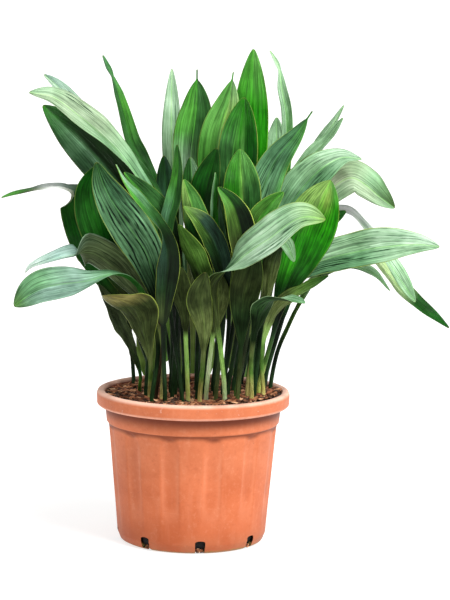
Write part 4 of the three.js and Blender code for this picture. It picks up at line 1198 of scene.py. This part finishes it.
def makeChipTree():
    tree, given, out = newTree("chipsStrewn", "Ground", "Chips", [
        ("Chip density", "Float"), ("Crumb density", "Float"), ("Shred density", "Float"), ("Seed", "Int"),
        ("Material", "Material")])

    def randomVector(least, most, seed):
        return wire(tree, "FunctionNodeRandomValue", {"Min": least, "Max": most, "Seed": seed},
                    data_type="FLOAT_VECTOR")

    parts = addNode(tree, "GeometryNodeJoinGeometry")
    for title, kind in chipKinds.items():
        seed = given("Seed") + kind["shift"]
        spots = wire(tree, "GeometryNodeDistributePointsOnFaces", {
            "Mesh": given("Ground"), "Density": given(title + " density"), "Seed": seed},
            distribute_method="RANDOM")
        ball = wire(tree, "GeometryNodeMeshIcoSphere", {"Radius": 1.0, "Subdivisions": kind["detail"]})
        grain = wire(tree, "ShaderNodeTexNoise", {"Scale": 1.3, "Detail": 1.0}, 1)
        warp = moved(grain, (0.5, 0.5, 0.5), "SUBTRACT")
        laid = wire(tree, "GeometryNodeInstanceOnPoints", {
            "Points": spots, "Instance": chain(ball, ("SetPosition", {"Offset": scaled(warp, 1.1)})),
            "Rotation": randomVector((-0.5, -0.5, 0.0), (0.5, 0.5, 6.28), seed + 1.0),
            "Scale": randomVector(kind["least"], kind["most"], seed + 2.0)})
        shade = addNode(tree, "FunctionNodeRandomValue", {"Seed": seed + 3.0}, data_type="FLOAT")
        tone = next(Wire(tree, socket) for socket in shade.outputs if socket.enabled)
        plug(tree, parts.inputs[0], stored(laid, "chip", tone, "INSTANCE"))
    plug(tree, out.inputs[0], chain(
        Wire(tree, parts.outputs[0]), ("RealizeInstances", {}),
        ("SetMaterial", {"Material": given("Material")})))
    return tree


def groundMesh():
    s = soilSettings
    points, faces = [], []
    for ring in range(s["rings"] + 1):
        for spoke in range(s["spokes"]):
            radius = s["topRadius"] * (ring + 0.02) / (s["rings"] + 0.02)
            angle = 2 * math.pi * spoke / s["spokes"]
            x, y = radius * math.cos(angle), radius * math.sin(angle)
            rise = s["aboveSoil"] + s["edgeHeap"] * (radius / s["topRadius"]) ** 8
            for lumpX, lumpY, reach, lift in s["lumps"]:
                rise += lift * math.exp(-((x - lumpX) ** 2 + (y - lumpY) ** 2) / reach ** 2)
            points.append((x * mm, y * mm, (soilHeight(x, y) + rise) * mm))
    for ring in range(s["rings"]):
        for spoke in range(s["spokes"]):
            after = (spoke + 1) % s["spokes"]
            low, high = ring * s["spokes"], (ring + 1) * s["spokes"]
            faces.append((low + spoke, high + spoke, high + after, low + after))
    return meshFrom("ground", points, faces)


def strewn(name, ground, chips, crumbs, shreds, seed):
    piece = grown(name, ground, makeChipTree(), {
        "Chip density": chips, "Crumb density": crumbs, "Shred density": shreds, "Seed": seed,
        "Material": makeBark()})
    settle(piece, "soil")
    print(name, "strewn:", len(piece.data.polygons), "faces")


earth = makeSoilEarth()
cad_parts["soil"].data.materials.clear()
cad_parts["soil"].data.materials.append(earth)
strewn("bark_chips", groundMesh(), soilSettings["chipDensity"], soilSettings["crumbDensity"],
       soilSettings["shredDensity"], soilSettings["seed"])


# crumbs of compost that lie in the front drain notches

crumbSettings = {
    "turns": (-1, 0, 1),  # notches, counted from the first
    "halfWidth": 4.4,  # mm, as the next two
    "outer": (102.6, 2.5),  # distance from the axis and height
    "inner": (98.6, 6.5),
    "density": 620000.0,  # pieces a square metre
    "seed": 5,
}


def crumbGround():
    s, points, faces = crumbSettings, [], []
    for turn in s["turns"]:
        angle = math.radians(potSettings["notchFirst"] + turn * 360 / potSettings["notchCount"])
        first = len(points)
        for radius, height in (s["inner"], s["outer"]):
            for across in (-s["halfWidth"], s["halfWidth"]):
                x = radius * math.cos(angle) - across * math.sin(angle)
                y = radius * math.sin(angle) + across * math.cos(angle)
                points.append((x * mm, y * mm, height * mm))
        faces.append((first, first + 2, first + 3, first + 1))
    return meshFrom("crumbGround", points, faces)


strewn("notch_crumbs", crumbGround(), 0.0, crumbSettings["density"], 0.0, crumbSettings["seed"])


# floor, lamp and light from all round

studioSettings = {
    "floorHalf": 120.0,
    "floorTones": ("#adadac", "#a7a7a6"),
    "floorGlow": 0.72,
    "floorRoughness": 0.9,
    "skyTop": 1.0,
    "skyLow": 0.25,
    "keyFrom": (1.75, -1.75, 2.9),
    "keyStrength": 3.6,
    "keyAngle": 24.0,  # degrees, a soft source
}


def makeStudio():
    s = studioSettings
    material, tree, surface = newMaterial("paleFloor")
    soft = noise(objectPlace(tree), 3.0, 2.0, 0.5)
    dress(surface, {"Base Color": mixColour(tree, soft, *s["floorTones"]), "Emission Color": "#ffffff",
                    "Emission Strength": s["floorGlow"], "Roughness": s["floorRoughness"]})
    h = s["floorHalf"]
    mesh = meshFrom("floor", [(-h, -h, 0), (h, -h, 0), (h, h, 0), (-h, h, 0)], [(0, 1, 2, 3)])
    mesh.materials.append(material)
    floor = bpy.data.objects.new("floor", mesh)
    bpy.context.scene.collection.objects.link(floor)
    data = bpy.data.lights.new("keyLight", "SUN")
    data.energy = s["keyStrength"]
    data.angle = math.radians(s["keyAngle"])
    lamp = bpy.data.objects.new("keyLight", data)
    lamp.location = s["keyFrom"]
    lamp.rotation_euler = (-Vector(s["keyFrom"])).to_track_quat("-Z", "Y").to_euler()
    bpy.context.scene.collection.objects.link(lamp)
    world = bpy.data.worlds.new("studio")
    world.use_nodes = True
    sky = world.node_tree
    upward = partsOf(wire(sky, "ShaderNodeTexCoord"))[2]
    shine = wire(sky, "ShaderNodeMapRange", {"Value": upward, "To Min": s["skyLow"], "To Max": s["skyTop"]})
    dress(sky.nodes["Background"], {"Color": "#ffffff", "Strength": shine})
    bpy.context.scene.world = world
    bpy.context.scene.view_settings.view_transform = "Standard"


makeStudio()
print("studio lit")
